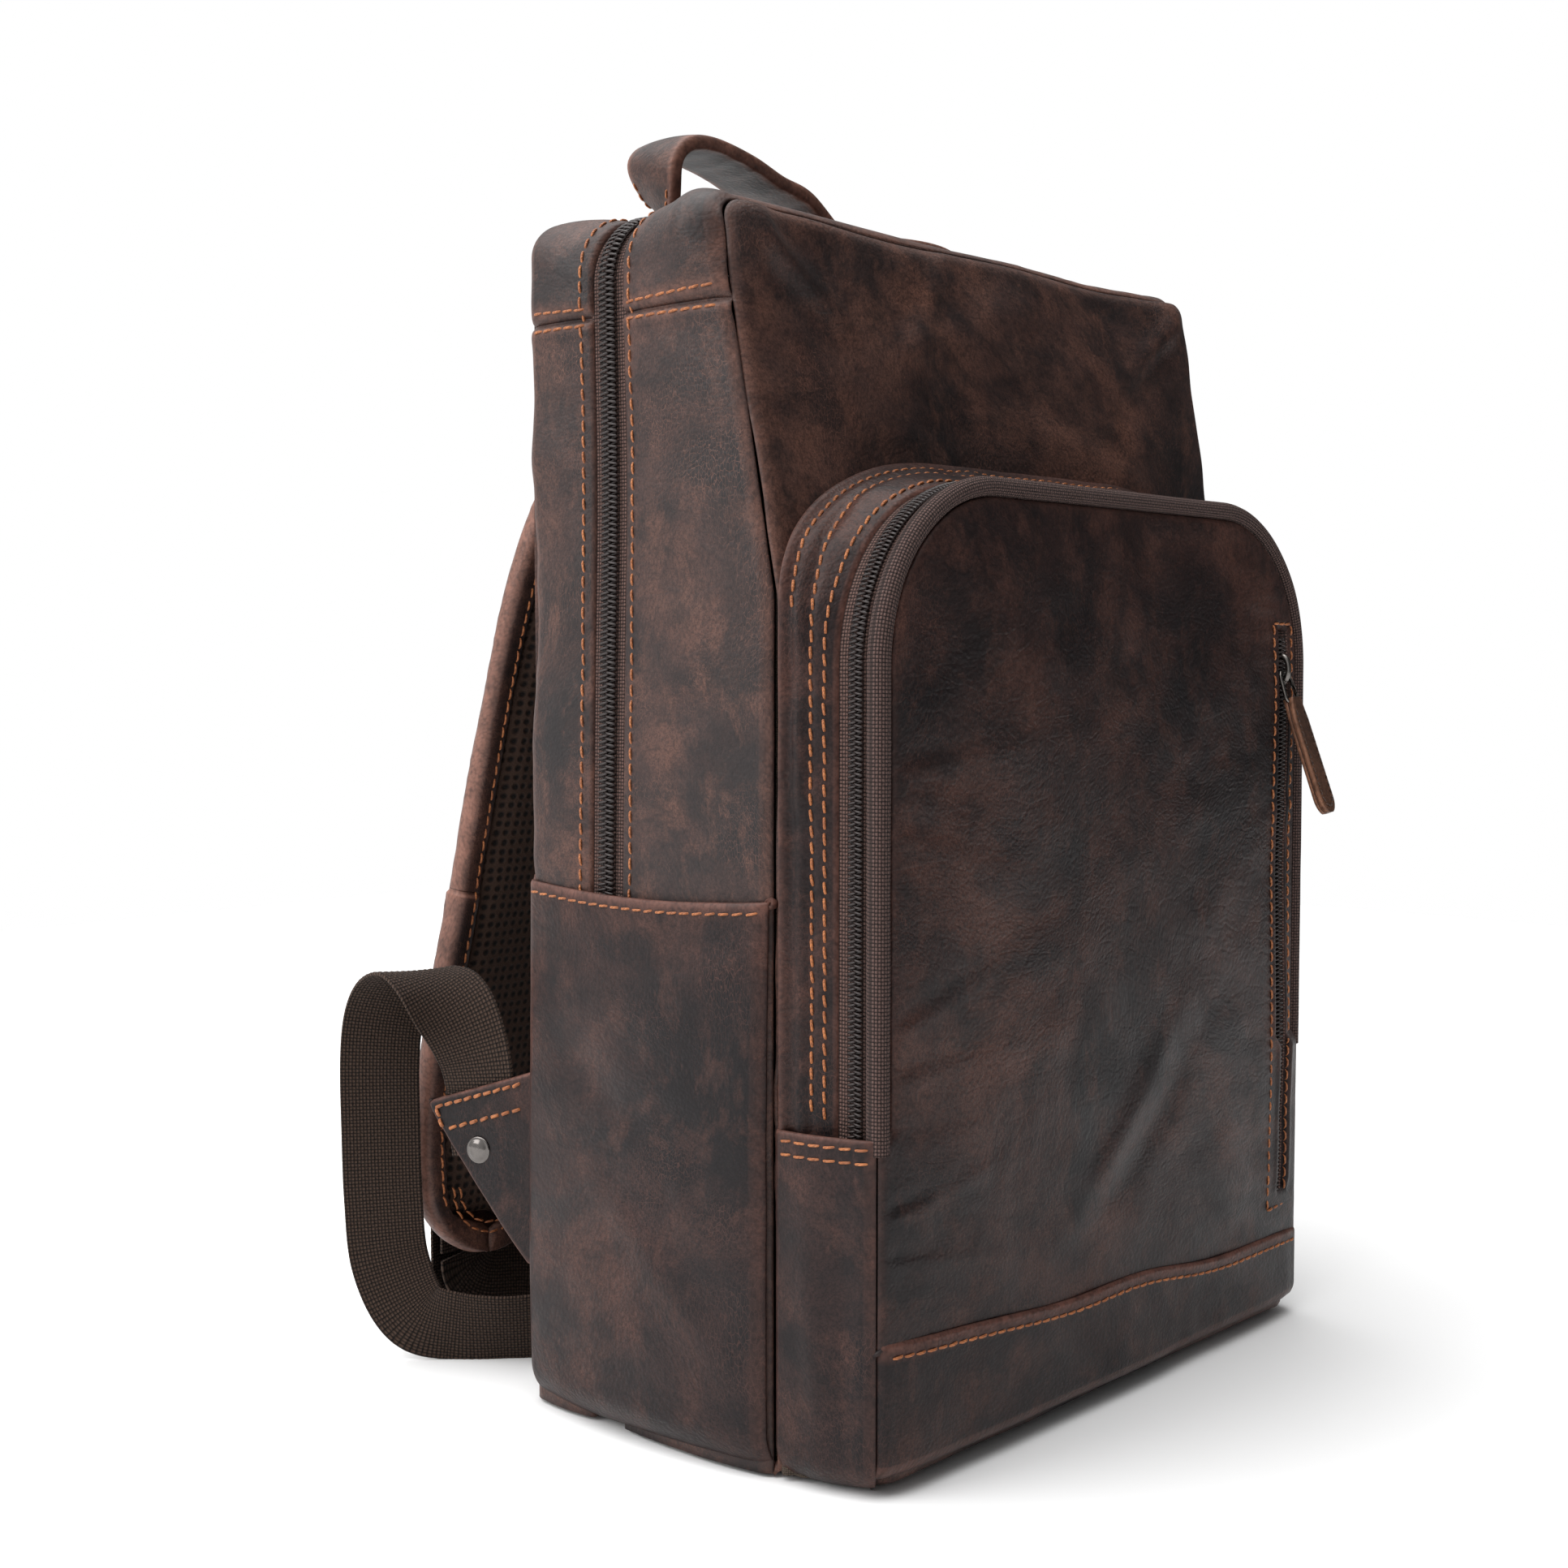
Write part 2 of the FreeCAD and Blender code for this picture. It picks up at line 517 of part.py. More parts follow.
def webbing_stations():
    """From inside the leather tab up, over and down to the floor, then a loop behind the bag."""
    level = V(0.27, -0.96, 0)
    upright = V(0, 0, 1)
    return [
        (V(-149.5, 99.8, 104), level, 1.0),
        (V(-149.6, 99.9, 113), level, 1.0),
        (V(-151.5, 101.5, 126), V(0.42, -0.91, 0), 1.0),
        (V(-154.5, 107, 140), V(0.66, -0.75, 0), 1.0),
        (V(-156.5, 117, 150), V(0.86, -0.5, 0), 1.0),
        (V(-156.5, 129, 153), V(0.93, -0.37, 0), 1.0),
        (V(-155.5, 141, 147), V(0.90, -0.43, 0), 1.0),
        (V(-154.5, 149.5, 134), V(0.82, -0.57, 0), 1.0),
        (V(-154, 153, 116), V(0.75, -0.66, 0), 1.0),
        (V(-153.5, 153.5, 90), V(0.72, -0.69, 0), 1.0),
        (V(-153, 153, 62), V(0.70, -0.71, 0), 1.0),
        (V(-151.5, 151, 38), V(0.68, -0.70, 0.1), 1.0),
        (V(-146.5, 143, 21), V(0.52, -0.60, 0.55), 1.0),
        (V(-137, 130.5, 15.6), V(0.12, -0.2, 0.97), 1.0),
        (V(-125, 116, 15.2), upright, 1.0),
        (V(-110, 104, 15.2), upright, 1.0),
        (V(-92, 98, 15.2), upright, 1.0),
        (V(-74, 101, 15.2), upright, 1.0),
        (V(-62, 113, 15.2), upright, 1.0),
        (V(-60, 130, 15.2), upright, 1.0),
        (V(-68, 145, 15.4), V(0.1, 0.05, 1), 1.0),
        (V(-82, 154, 18), V(0.5, 0.1, 0.86), 1.0),
        (V(-98, 156.8, 20.5), V(0.80, 0.02, 0.6), 1.0),
        (V(-105.8, 156.85, 24.5), V(0.97, 0.01, 0.22), 1.0),
        (V(-107, 156.75, 30.0), V(1, 0, 0), 1.0),
    ]


TAB_TURN = math.degrees(math.atan2(0.96, -0.27))


def tab_parts():
    """A leather wing in the back seam that holds the webbing, and its rivet."""
    foot = V(-143.6, BACK_Y + 0.6, 0)
    outline = [V(0, -3, 50), V(0, -3, 120), V(44, -3, 106)]
    wing = prism(outline, V(0, 6, 0))
    slot = box(6.2, 37.8, -1.0, 1.0, 82, 130)
    hole = Part.makeCylinder(2.0, 20, V(21, -10, 90), V(0, 1, 0))
    wing = wing.cut(slot).cut(hole)
    shank = Part.makeCylinder(1.9, 6.2, V(21, -3.1, 90), V(0, 1, 0))
    caps = [Part.makeCylinder(5.0, 1.3, V(21, y, 90), V(0, 1, 0)) for y in (-4.3, 3.0)]
    rivet = shank.fuse(caps)
    held = box(7, 37, -WEBBING_T / 2, WEBBING_T / 2, 84, 104).cut(hole)
    placed = []
    for shape in (wing, rivet, held):
        copy = shape.copy()
        copy.rotate(V(0, 0, 0), V(0, 0, 1), TAB_TURN)
        copy.translate(foot)
        placed.append(copy)
    return placed


def adjusters():
    wing, rivet, held = tab_parts()
    half = WEBBING_T / 2
    loop = ribbon(webbing_stations(), WEBBING_W, -half, half)
    webbing = Part.makeCompound([held, loop])
    parts = {"strap_tab": wing, "webbing": webbing, "ladder_lock": ladder_lock(), "webbing_tail": webbing_tail()}
    for name, shape in parts.items():
        save(name + "_left", shape)
        save(name + "_right", mirrored(shape))
    save("tab_rivets", rivet, mirrored(rivet))


def main():
    os.makedirs("parts", exist_ok=True)
    back()
    rear_gusset()
    front_gusset()
    front_panel()
    base()
    linings()
    laptop_sleeve()
    main_zip()
    side_pocket()
    pocket_sides()
    pocket_front()
    pocket_inside()
    pocket_zip()
    front_zip()
    sliders()
    handle()
    straps()
    adjusters()


main()
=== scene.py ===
import math

import bpy
import numpy as np
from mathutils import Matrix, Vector


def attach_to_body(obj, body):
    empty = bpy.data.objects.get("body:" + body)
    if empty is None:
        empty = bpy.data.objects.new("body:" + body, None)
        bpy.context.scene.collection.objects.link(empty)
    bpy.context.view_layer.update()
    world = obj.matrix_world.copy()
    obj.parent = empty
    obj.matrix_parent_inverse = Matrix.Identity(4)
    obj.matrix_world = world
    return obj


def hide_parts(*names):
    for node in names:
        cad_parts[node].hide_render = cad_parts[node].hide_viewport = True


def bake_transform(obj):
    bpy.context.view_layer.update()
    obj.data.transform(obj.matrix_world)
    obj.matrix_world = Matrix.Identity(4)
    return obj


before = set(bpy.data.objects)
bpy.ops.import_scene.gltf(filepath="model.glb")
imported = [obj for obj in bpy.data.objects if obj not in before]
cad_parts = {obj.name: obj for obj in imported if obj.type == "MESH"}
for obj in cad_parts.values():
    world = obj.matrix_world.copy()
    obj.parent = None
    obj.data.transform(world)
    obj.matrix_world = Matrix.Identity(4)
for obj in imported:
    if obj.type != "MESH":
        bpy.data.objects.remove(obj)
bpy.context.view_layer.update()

MM = 0.001

# ---- sizes of the bag, in millimetres -----------------------------------------------------------
HALF, TOP, BACK, FRONT = 144.0, 422.0, 78.0, -41.0
KNEE, FRONT_TOP = 290.0, -16.0
ZIP_Y, SLOT = 36.0, 7.6
YOKE = 387.0
REF_R = 24.0                       # corner radius that the arch parameter is counted with
ARC = REF_R * math.pi / 2
RUN = 2 * (HALF - REF_R)
SIDE = TOP - REF_R
ARCH = 2 * SIDE + 2 * ARC + RUN    # whole arch, foot to foot

SIDES = (("left", 1), ("right", -1))


def all_bends():
    """Joints that fabric crosses: the two bodies, where the bend starts and where it ends, in metres."""
    bends = {
        "mouth_bend": (("bag", "mouth"), (0, -0.0306, 0.325), (0, -0.0306, 0.365)),
        "flap_bend": (("bag", "flap"), (0, -0.079, 0.128), (0, -0.079, 0.156)),
    }
    for side, sign in SIDES:
        pair = ("bag", f"strap_{side}")
        bends[f"strap_{side}_bend"] = (pair, (0, 0.085, 0.404), (0, 0.085, 0.352))
        bends[f"webbing_{side}_bend"] = (pair, (-0.150 * sign, 0.100, 0.100), (-0.107 * sign, 0.157, 0.036))
    return bends


BENDS = all_bends()


# ---- small helpers -------------------------------------------------------------------------------
def smooth(t):
    """A soft step from 0 at t = 0 to 1 at t = 1."""
    t = np.clip(t, 0, 1)
    return t * t * (3 - 2 * t)


def bell(x, centre, width):
    return np.exp(-((x - centre) / width) ** 2)


def unit(v):
    return v / np.maximum(np.linalg.norm(v, axis=-1, keepdims=True), 1e-9)


def spaced(a, b, step):
    """Evenly spaced numbers from a to b, about step apart."""
    return np.linspace(a, b, max(int(round((b - a) / step)), 2) + 1)


def lengths(points):
    """Distance along a polyline at each of its points."""
    return np.concatenate([[0], np.cumsum(np.linalg.norm(np.diff(points, axis=0), axis=1))])


def upright(nx, nz):
    """Directions that have no part along Y."""
    return np.stack([nx, 0 * nx, nz], -1)


def rounded_edge(distance, radius):
    """Depth below a face with a rounded edge, at a distance in from that edge."""
    return radius - np.sqrt(np.maximum(radius ** 2 - np.clip(radius - distance, 0, radius) ** 2, 0))


def edge_wear(depth, at=0.9):
    """Where a turned edge is rubbed: about at millimetres below the face."""
    return np.exp(-np.abs(depth - at) / 0.9) * (depth > 0.02)


# ---- noise: the same on every run ---------------------------------------------------------------
def lattice(ix, iy, iz, seed):
    h = (ix * 374761393 + iy * 668265263 + iz * 2147483647 + seed * 1274126177) & 0xFFFFFFFF
    h = ((h ^ (h >> 13)) * 1274126177) & 0xFFFFFFFF
    return ((h ^ (h >> 16)) & 0xFFFF) / 32767.5 - 1


def noise(p, scale, seed=0):
    """Smooth noise from -1 to 1 at points p, with features about scale millimetres wide."""
    q = np.asarray(p, float) / scale + 1000.0
    base = np.floor(q).astype(np.int64)
    f = q - base
    f = f * f * (3 - 2 * f)
    total = 0
    for dx in (0, 1):
        for dy in (0, 1):
            for dz in (0, 1):
                w = np.abs(1 - dx - f[..., 0]) * np.abs(1 - dy - f[..., 1]) * np.abs(1 - dz - f[..., 2])
                total = total + w * lattice(base[..., 0] + dx, base[..., 1] + dy, base[..., 2] + dz, seed)
    return total


def leather_relief(p, seed=0, amount=1.0):
    """Soft dents, shallow folds and fine wrinkles of worn leather, in millimetres."""
    big = noise(p, 62, seed) * 1.1
    mid = noise(p * np.array([1, 1, 1.7]), 24, seed + 1) * 0.45
    gate = np.clip(noise(p, 46, seed + 5) * 1.6 - 0.15, 0, 1)
    fine = (1 - 2 * np.abs(noise(p * np.array([1, 1, 2.4]), 13, seed + 2))) * 0.32 * gate
    return amount * (big + mid + fine)


# ---- meshes ------------------------------------------------------------------------------------
def attach(obj, where):
    """where is a body's name, or the name of a bend between two bodies."""
    if where in BENDS:
        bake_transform(obj)
    else:
        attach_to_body(obj, where)
    return obj


def make(name, verts, faces, material, where, seed=0, fab=None, wear=None):
    """A smooth mesh, in millimetres. seed shifts the place in the leather that its material takes its patches from."""
    mesh = bpy.data.meshes.new(name)
    verts = np.asarray(verts, float)
    mesh.from_pydata((verts * MM).tolist(), [], faces.tolist() if hasattr(faces, "tolist") else faces)
    rest = verts * MM + np.array([0.37, 0.61, 0.83]) * seed
    layers = {"rest": ("FLOAT_VECTOR", rest), "fab": ("FLOAT_VECTOR", fab), "wear": ("FLOAT", wear)}
    for key, (kind, values) in layers.items():
        if values is not None:
            layer = mesh.attributes.new(key, kind, "POINT")
            field = "vector" if kind == "FLOAT_VECTOR" else "value"
            layer.data.foreach_set(field, np.asarray(values, np.float32).ravel())
    mesh.polygons.foreach_set("use_smooth", [True] * len(mesh.polygons))
    mesh.materials.append(material)
    mesh.update()
    obj = bpy.data.objects.new(name, mesh)
    bpy.context.scene.collection.objects.link(obj)
    return attach(obj, where)


def grid_normals(p):
    return unit(np.cross(np.gradient(p, axis=0), np.gradient(p, axis=1)))


def grid_faces(rows, cols, start=0, reverse=False, wrap=False):
    i = np.arange(rows - 1)[:, None] * cols
    last = cols if wrap else cols - 1
    j = np.arange(last)[None, :]
    k = (j + 1) % cols
    quads = np.stack([i + j, i + k, i + cols + k, i + cols + j], -1).reshape(-1, 4) + start
    return quads[:, ::-1] if reverse else quads


def tube_faces(rows, count, reverse=True):
    """Faces round a tube of rings, and its two ends."""
    first, last = list(range(count)), list(range((rows - 1) * count, rows * count))
    ends = [first, last[::-1]] if reverse else [first[::-1], last]
    return grid_faces(rows, count, 0, reverse, wrap=True).tolist() + ends


MIDDLE = np.array([0.0, 15.0, 200.0])


def outward_normals(p, centre=MIDDLE):
    n = grid_normals(p)
    return n if np.sum(n * (p - centre)) > 0 else -n


def sheet(name, p, material, where, thick=1.6, centre=MIDDLE, seed=0, fab=None, wear=None, n=None):
    """A sheet of the given thickness from a grid of points on its outer face, which looks away from centre."""
    rows, cols = p.shape[:2]
    if n is None:
        n = outward_normals(p, centre)
    turn = np.sum(n * grid_normals(p)) < 0
    inner = p - n * thick
    verts = np.concatenate([p.reshape(-1, 3), inner.reshape(-1, 3)])
    count = rows * cols
    faces = [grid_faces(rows, cols, 0, not turn), grid_faces(rows, cols, count, turn)]
    index = np.arange(count).reshape(rows, cols)
    loop = np.concatenate([index[0, :-1], index[:-1, -1], index[-1, :0:-1], index[:0:-1, 0]])
    ahead = np.roll(loop, -1)
    rim = np.stack([loop, loop + count, ahead + count, ahead], -1)
    faces.append(rim if turn else rim[:, ::-1])
    both = lambda a: None if a is None else np.concatenate([np.asarray(a).reshape(count, -1)] * 2)
    return make(name, verts, np.concatenate(faces), material, where, seed, both(fab), both(wear))


def cloth(name, p, where, centre=MIDDLE, thick=0.5, *stands_for):
    """Woven lining on a grid of points. Its fabric coordinates are lengths along the grid."""
    u, v = np.meshgrid(lengths(p[len(p) // 2]), lengths(p[:, p.shape[1] // 2]))
    obj = sheet(name, p, LINING_MAT, where, thick, centre, fab=np.stack([u, v, 0 * u], -1) * MM)
    if stands_for:
        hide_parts(*stands_for)
    return obj


def circle(count):
    return np.arange(count) * 2 * math.pi / count


def tube_rings(centres, n, b, radius_n, radius_b, sides=6):
    """Rings of points round the centres, of shape (..., rings, 3). n and b are across the tube."""
    angle = circle(sides)
    return (centres[..., None, :] + n[..., None, :] * (np.cos(angle)[:, None] * radius_n[..., None, None])
            + b[..., None, :] * (np.sin(angle)[:, None] * radius_b[..., None, None]))


def tubes(name, centres, n, b, radius_n, radius_b, material, where, sides=6):
    """Many separate short tubes: centres has shape (tubes, rings, 3)."""
    count, rings = centres.shape[:2]
    verts = tube_rings(centres, n, b, radius_n, radius_b, sides).reshape(-1, 3)
    one = grid_faces(rings, sides, 0, True, wrap=True)
    faces = (one[None] + (np.arange(count) * rings * sides)[:, None, None]).reshape(-1, 4).tolist()
    for first in range(0, count * rings * sides, rings * sides):
        last = first + (rings - 1) * sides
        faces.append(list(range(first, first + sides)))
        faces.append(list(range(last + sides - 1, last - 1, -1)))
    return make(name, verts, faces, material, where)


def along(points, normals, pitch, start=0.5):
    """Evenly spaced points, tangents and normals on a polyline."""
    length = lengths(points)
    count = max(int(round(length[-1] / pitch)), 1)
    at = (np.arange(count) + start) * length[-1] / count
    pick = lambda a, t: np.stack([np.interp(t, length, a[:, k]) for k in range(3)], -1)
    centre = pick(points, at)
    tangent = unit(pick(points, np.minimum(at + 0.4, length[-1])) - pick(points, np.maximum(at - 0.4, 0)))
    normal = pick(normals, at)
    normal = unit(normal - tangent * np.sum(normal * tangent, axis=1, keepdims=True))
    return centre, tangent, normal


STITCH_PITCH, STITCH_LENGTH, THREAD = 5.4, 4.75, 0.42


def stitches(name, paths, where, material, pitch=STITCH_PITCH, thread=THREAD, slant=0.10):
    """Separate thread stitches along each path of (points, normals). They dip into the leather at their ends."""
    rng = np.random.default_rng(len(name) * 7 + 3)
    parts = [along(points, normals, pitch) for points, normals in paths]
    centre, tangent, normal = (np.concatenate(arrays) for arrays in zip(*parts))
    side = np.cross(normal, tangent)
    turn = slant + rng.normal(0, 0.035, len(centre))[:, None]
    tangent = tangent * np.cos(turn) + side * np.sin(turn)
    side = np.cross(normal, tangent)
    t = np.linspace(-1, 1, 9)
    reach = STITCH_LENGTH / 2 * pitch / STITCH_PITCH
    lift = thread * (0.75 - 1.9 * np.abs(t) ** 3.5)
    rings = (centre[:, None] + tangent[:, None] * (t * reach)[None, :, None]
             + normal[:, None] * lift[None, :, None])
    shape = (len(centre), len(t))
    plump = np.broadcast_to(thread * (1 - 0.45 * t ** 4), shape)
    spread = lambda v: np.broadcast_to(v[:, None], rings.shape)
    return tubes(name, rings, spread(normal), spread(side), plump, plump * 1.15, material, where)


def coil(name, points, normals, hand, where, material, half=3.5, pitch=1.9, wire=0.5, height=1.5):
    """One side of a coil zip: a flattened spiral that reaches just past the middle."""
    centre, tangent, normal = along(points, normals, pitch, start=0.5 if hand > 0 else 0.0)
    side = np.cross(normal, tangent) * hand
    turns, segments = len(centre), 10
    index = np.arange(turns * segments) / segments
    phase = index * 2 * math.pi
    pick = lambda a: np.stack([np.interp(index, np.arange(turns), a[:, k]) for k in range(3)], -1)
    c, t, n, s = pick(centre), pick(tangent), pick(normal), pick(side)
    middle = half / 2 - 0.25
    swing = half / 2 + 0.1
    across = middle + swing * np.cos(phase)
    lift = height / 2 + height / 2 * np.sin(phase)
    path = c + s * across[:, None] + n * (wire + lift)[:, None]
    path = path[: (turns - 1) * segments + 1]
    d = unit(np.gradient(path, axis=0))
    across_d = unit(np.cross(d, t[: len(path)]))
    other = np.cross(d, across_d)
    r = np.full(len(path), wire)
    return tubes(name, path[None], across_d[None], other[None], r[None], r[None], material, where, sides=5)


# ---- materials -----------------------------------------------------------------------------------
class Nodes:
    """Short names for building a node tree."""

    def __init__(self, name):
        self.material = bpy.data.materials.new(name)
        self.material.use_nodes = True
        self.tree = self.material.node_tree
        self.shader = self.tree.nodes["Principled BSDF"]

    def add(self, kind, **inputs):
        node = self.tree.nodes.new("ShaderNode" + kind)
        for key, value in inputs.items():
            if key.startswith("_"):
                setattr(node, key[1:], value)
            else:
                self.set(node, key.replace("_", " "), value)
        return node

    def set(self, node, key, value):
        key = int(key[1:]) if key[0] == "i" and key[1:].isdigit() else key
        socket = node.inputs[key]
        if isinstance(value, bpy.types.NodeSocket):
            self.tree.links.new(value, socket)
        else:
            socket.default_value = value

    def field(self, name):
        return self.add("Attribute", _attribute_name=name)

    def noise(self, vector, scale, detail=2.0, rough=0.5, **more):
        return self.add("TexNoise", Vector=vector, Scale=scale, Detail=detail, Roughness=rough, **more).outputs[0]

    def ramp(self, value, *stops):
        node = self.add("ValToRGB", Fac=value)
        ramp = node.color_ramp
        while len(ramp.elements) < len(stops):
            ramp.elements.new(0.5)
        for element, (place, colour) in zip(ramp.elements, stops):
            element.position = place
            element.color = (*colour, 1) if hasattr(colour, "__len__") else (colour, colour, colour, 1)
        return node.outputs[0]

    def mix(self, fac, a, b, blend="MIX"):
        node = self.add("Mix", _data_type="RGBA", _blend_type=blend)
        self.set(node, "i0", fac)
        for key, value in (("i6", a), ("i7", b)):
            self.set(node, key, (*value, 1) if isinstance(value, tuple) else value)
        return node.outputs[2]

    def math(self, op, a, b=0.0):
        return self.add("Math", _operation=op, i0=a, i1=b).outputs[0]

    def stretch(self, vector, scale):
        return self.add("VectorMath", _operation="MULTIPLY", i0=vector, i1=scale).outputs[0]

    def bump(self, height, strength, distance, normal=None):
        node = self.add("Bump", Height=height, Strength=strength, Distance=distance)
        if normal is not None:
            self.set(node, "Normal", normal)
        return node.outputs[0]

    def finish(self, **values):
        for key, value in values.items():
            self.set(self.shader, key.replace("_", " "), value)
        return self.material


def leather_material(name, dark, brown, warm, gloss=(0.40, 0.60), grain=0.55, shine=0.30):
    """Waxed pull-up leather: cloudy dark and warm patches, pale scuffs, fine pebbled grain."""
    m = Nodes(name)
    darker = lambda share: tuple(c * share for c in dark)
    paler = lambda share: tuple(min(c * share, 1) for c in warm)
    p = m.field("rest").outputs["Vector"]
    bend = m.add("TexNoise", Vector=p, Scale=9.0, Detail=2.0).outputs["Color"]
    wavy = m.add("VectorMath", _operation="MULTIPLY_ADD", i0=bend, i1=(0.05, 0.05, 0.05), i2=p).outputs[0]
    cloud = m.noise(wavy, 13.0, 5.0, 0.62)
    patch = m.noise(m.stretch(wavy, (1, 1, 1.6)), 31.0, 6.0, 0.66)
    colour = m.ramp(cloud, (0.38, dark), (0.51, brown), (0.65, warm))
    colour = m.mix(m.ramp(patch, (0.46, 0.0), (0.60, 0.75)), colour, dark)
    tone = m.noise(m.stretch(wavy, (1, 1, 0.7)), 70.0, 7.0, 0.7)
    colour = m.mix(m.ramp(tone, (0.50, 0.0), (0.68, 0.62)), colour, warm)
    fleck = m.noise(p, 1500.0, 3.0, 0.7)
    colour = m.mix(m.ramp(fleck, (0.38, 0.55), (0.56, 0.0)), colour, darker(0.45))
    scuff = m.noise(m.stretch(wavy, (3.0, 3.0, 1.0)), 110.0, 6.0, 0.72)
    colour = m.mix(m.ramp(scuff, (0.60, 0.0), (0.80, 0.35)), colour, paler(1.9))
    wear = m.field("wear").outputs["Fac"]
    ragged = m.math("MULTIPLY", wear, m.ramp(m.noise(p, 160.0, 4.0), (0.25, 0.35), (0.70, 1.0)))
    colour = m.mix(ragged, colour, paler(2.1))
    cells = m.add("TexVoronoi", Vector=wavy, Scale=760.0, _feature="SMOOTH_F1").outputs["Distance"]
    colour = m.mix(m.ramp(cells, (0.35, 0.0), (0.85, 0.60)), colour, darker(0.55))
    hairs = m.add("TexVoronoi", Vector=m.stretch(wavy, (1.7, 1.7, 0.8)), Scale=520.0,
                  _feature="DISTANCE_TO_EDGE").outputs["Distance"]
    where = m.ramp(m.noise(wavy, 24.0, 4.0, 0.6), (0.44, 0.0), (0.66, 0.42))
    strand = m.math("MULTIPLY", m.ramp(hairs, (0.0, 1.0), (0.055, 0.0)), where)
    colour = m.mix(strand, colour, paler(1.7))
    pores = m.noise(p, 2400.0, 2.0)
    creases = m.add("TexVoronoi", Vector=m.stretch(wavy, (1, 1, 1.8)), Scale=95.0,
                    _feature="DISTANCE_TO_EDGE").outputs["Distance"]
    lines = m.ramp(creases, (0.0, 0.0), (0.10, 1.0))
    normal = m.bump(lines, 0.10, 0.0005)
    normal = m.bump(patch, 0.35, 0.0011, normal)
    normal = m.bump(cells, grain, 0.00028, normal)
    normal = m.bump(pores, 0.22, 0.00012, normal)
    rough = m.add("MapRange", Value=m.noise(wavy, 45.0, 6.0, 0.65), i1=0.3, i2=0.7, i3=gloss[0], i4=gloss[1]).outputs[0]
    return m.finish(Base_Color=colour, Roughness=rough, Normal=normal, IOR=1.48, Specular_IOR_Level=shine,
                    Coat_Weight=0.03, Coat_Roughness=0.35)


def woven_material(name, low, high, across, along_scale, rough=0.8, depth=0.0004, strength=0.9):
    """Plain weave from the fabric coordinates: raised threads one way, then the other. The colour follows the weave's
    height: painted shade in the dips between threads, and paler raised threads with a painted highlight.
    """
    m = Nodes(name)
    f = m.field("fab").outputs["Vector"]
    xyz = m.add("SeparateXYZ", Vector=f)
    u = m.math("MULTIPLY", xyz.outputs[0], across)
    v = m.math("MULTIPLY", xyz.outputs[1], along_scale)
    warp = m.math("MULTIPLY", m.math("SINE", u), m.math("SINE", v))
    lift = m.math("MAXIMUM", warp, m.math("MULTIPLY", warp, -0.6))
    fuzz = m.noise(f, 900.0, 4.0, 0.7)
    height = m.math("ADD", lift, m.math("MULTIPLY", fuzz, 0.6))
    # painted shade and highlight: low is the painted shade in the dips between threads, high the raised threads with a
    # painted highlight
    colour = m.mix(m.ramp(height, (0.30, 0.0), (0.95, 1.0)), low, high)
    return m.finish(Base_Color=colour, Roughness=rough, Normal=m.bump(height, strength, depth),
                    Specular_IOR_Level=0.15, Sheen_Weight=0.03, Sheen_Roughness=0.5)


def thread_material(name, low, high):
    m = Nodes(name)
    p = m.field("rest").outputs["Vector"]
    shade = m.noise(p, 260.0, 3.0)
    ply = m.add("TexWave", Vector=p, Scale=420.0, Distortion=1.0, _bands_direction="DIAGONAL").outputs["Fac"]
    colour = m.mix(m.ramp(shade, (0.3, 0.0), (0.7, 1.0)), low, high)
    # painted shade: darker in the grooves between the thread's plies
    colour = m.mix(m.ramp(ply, (0.0, 0.45), (0.5, 0.0)), colour, tuple(c * 0.4 for c in low))
    return m.finish(Base_Color=colour, Roughness=0.55, Normal=m.bump(ply, 0.6, 0.0003))


def hard_material(name, colour, rough, metal=0.0, scale=220.0):
    m = Nodes(name)
    p = m.add("TexCoord").outputs["Object"]
    worn = m.noise(p, scale, 5.0, 0.65)
    tint = m.mix(m.ramp(worn, (0.35, 0.0), (0.75, 0.55)), colour, tuple(min(c * 1.7, 1) for c in colour))
    level = m.add("MapRange", Value=m.noise(p, scale * 3, 4.0), i1=0.3, i2=0.7, i3=rough * 0.75, i4=rough * 1.3)
    return m.finish(Base_Color=tint, Roughness=level.outputs[0], Metallic=metal, Normal=m.bump(worn, 0.08, 0.0002))


def mesh_material(name):
    """Spacer mesh: rows of small holes between raised threads, the holes painted nearly black as painted shade."""
    m = Nodes(name)
    f = m.field("fab").outputs["Vector"]
    holes = m.add("TexVoronoi", Vector=f, Scale=270.0, Randomness=0.12).outputs["Distance"]
    fuzz = m.noise(f, 1600.0, 3.0, 0.7)
    rim = m.ramp(holes, (0.18, 0.0), (0.42, 1.0))
    # painted shade: the holes take the near-black colour, the shade inside them; the raised threads between them take
    # the lighter colour
    colour = m.mix(rim, (0.004, 0.003, 0.003), (0.060, 0.034, 0.024))
    colour = m.mix(m.ramp(fuzz, (0.4, 0.0), (0.7, 0.35)), colour, (0.02, 0.012, 0.01))
    height = m.math("ADD", rim, m.math("MULTIPLY", fuzz, 0.3))
    return m.finish(Base_Color=colour, Roughness=0.85, Normal=m.bump(height, 0.9, 0.0009), Specular_IOR_Level=0.3)


DARK, BROWN, WARM = (0.0150, 0.0112, 0.0116), (0.051, 0.0265, 0.0225), (0.135, 0.062, 0.044)
LEATHER = leather_material("leather", DARK, BROWN, WARM)
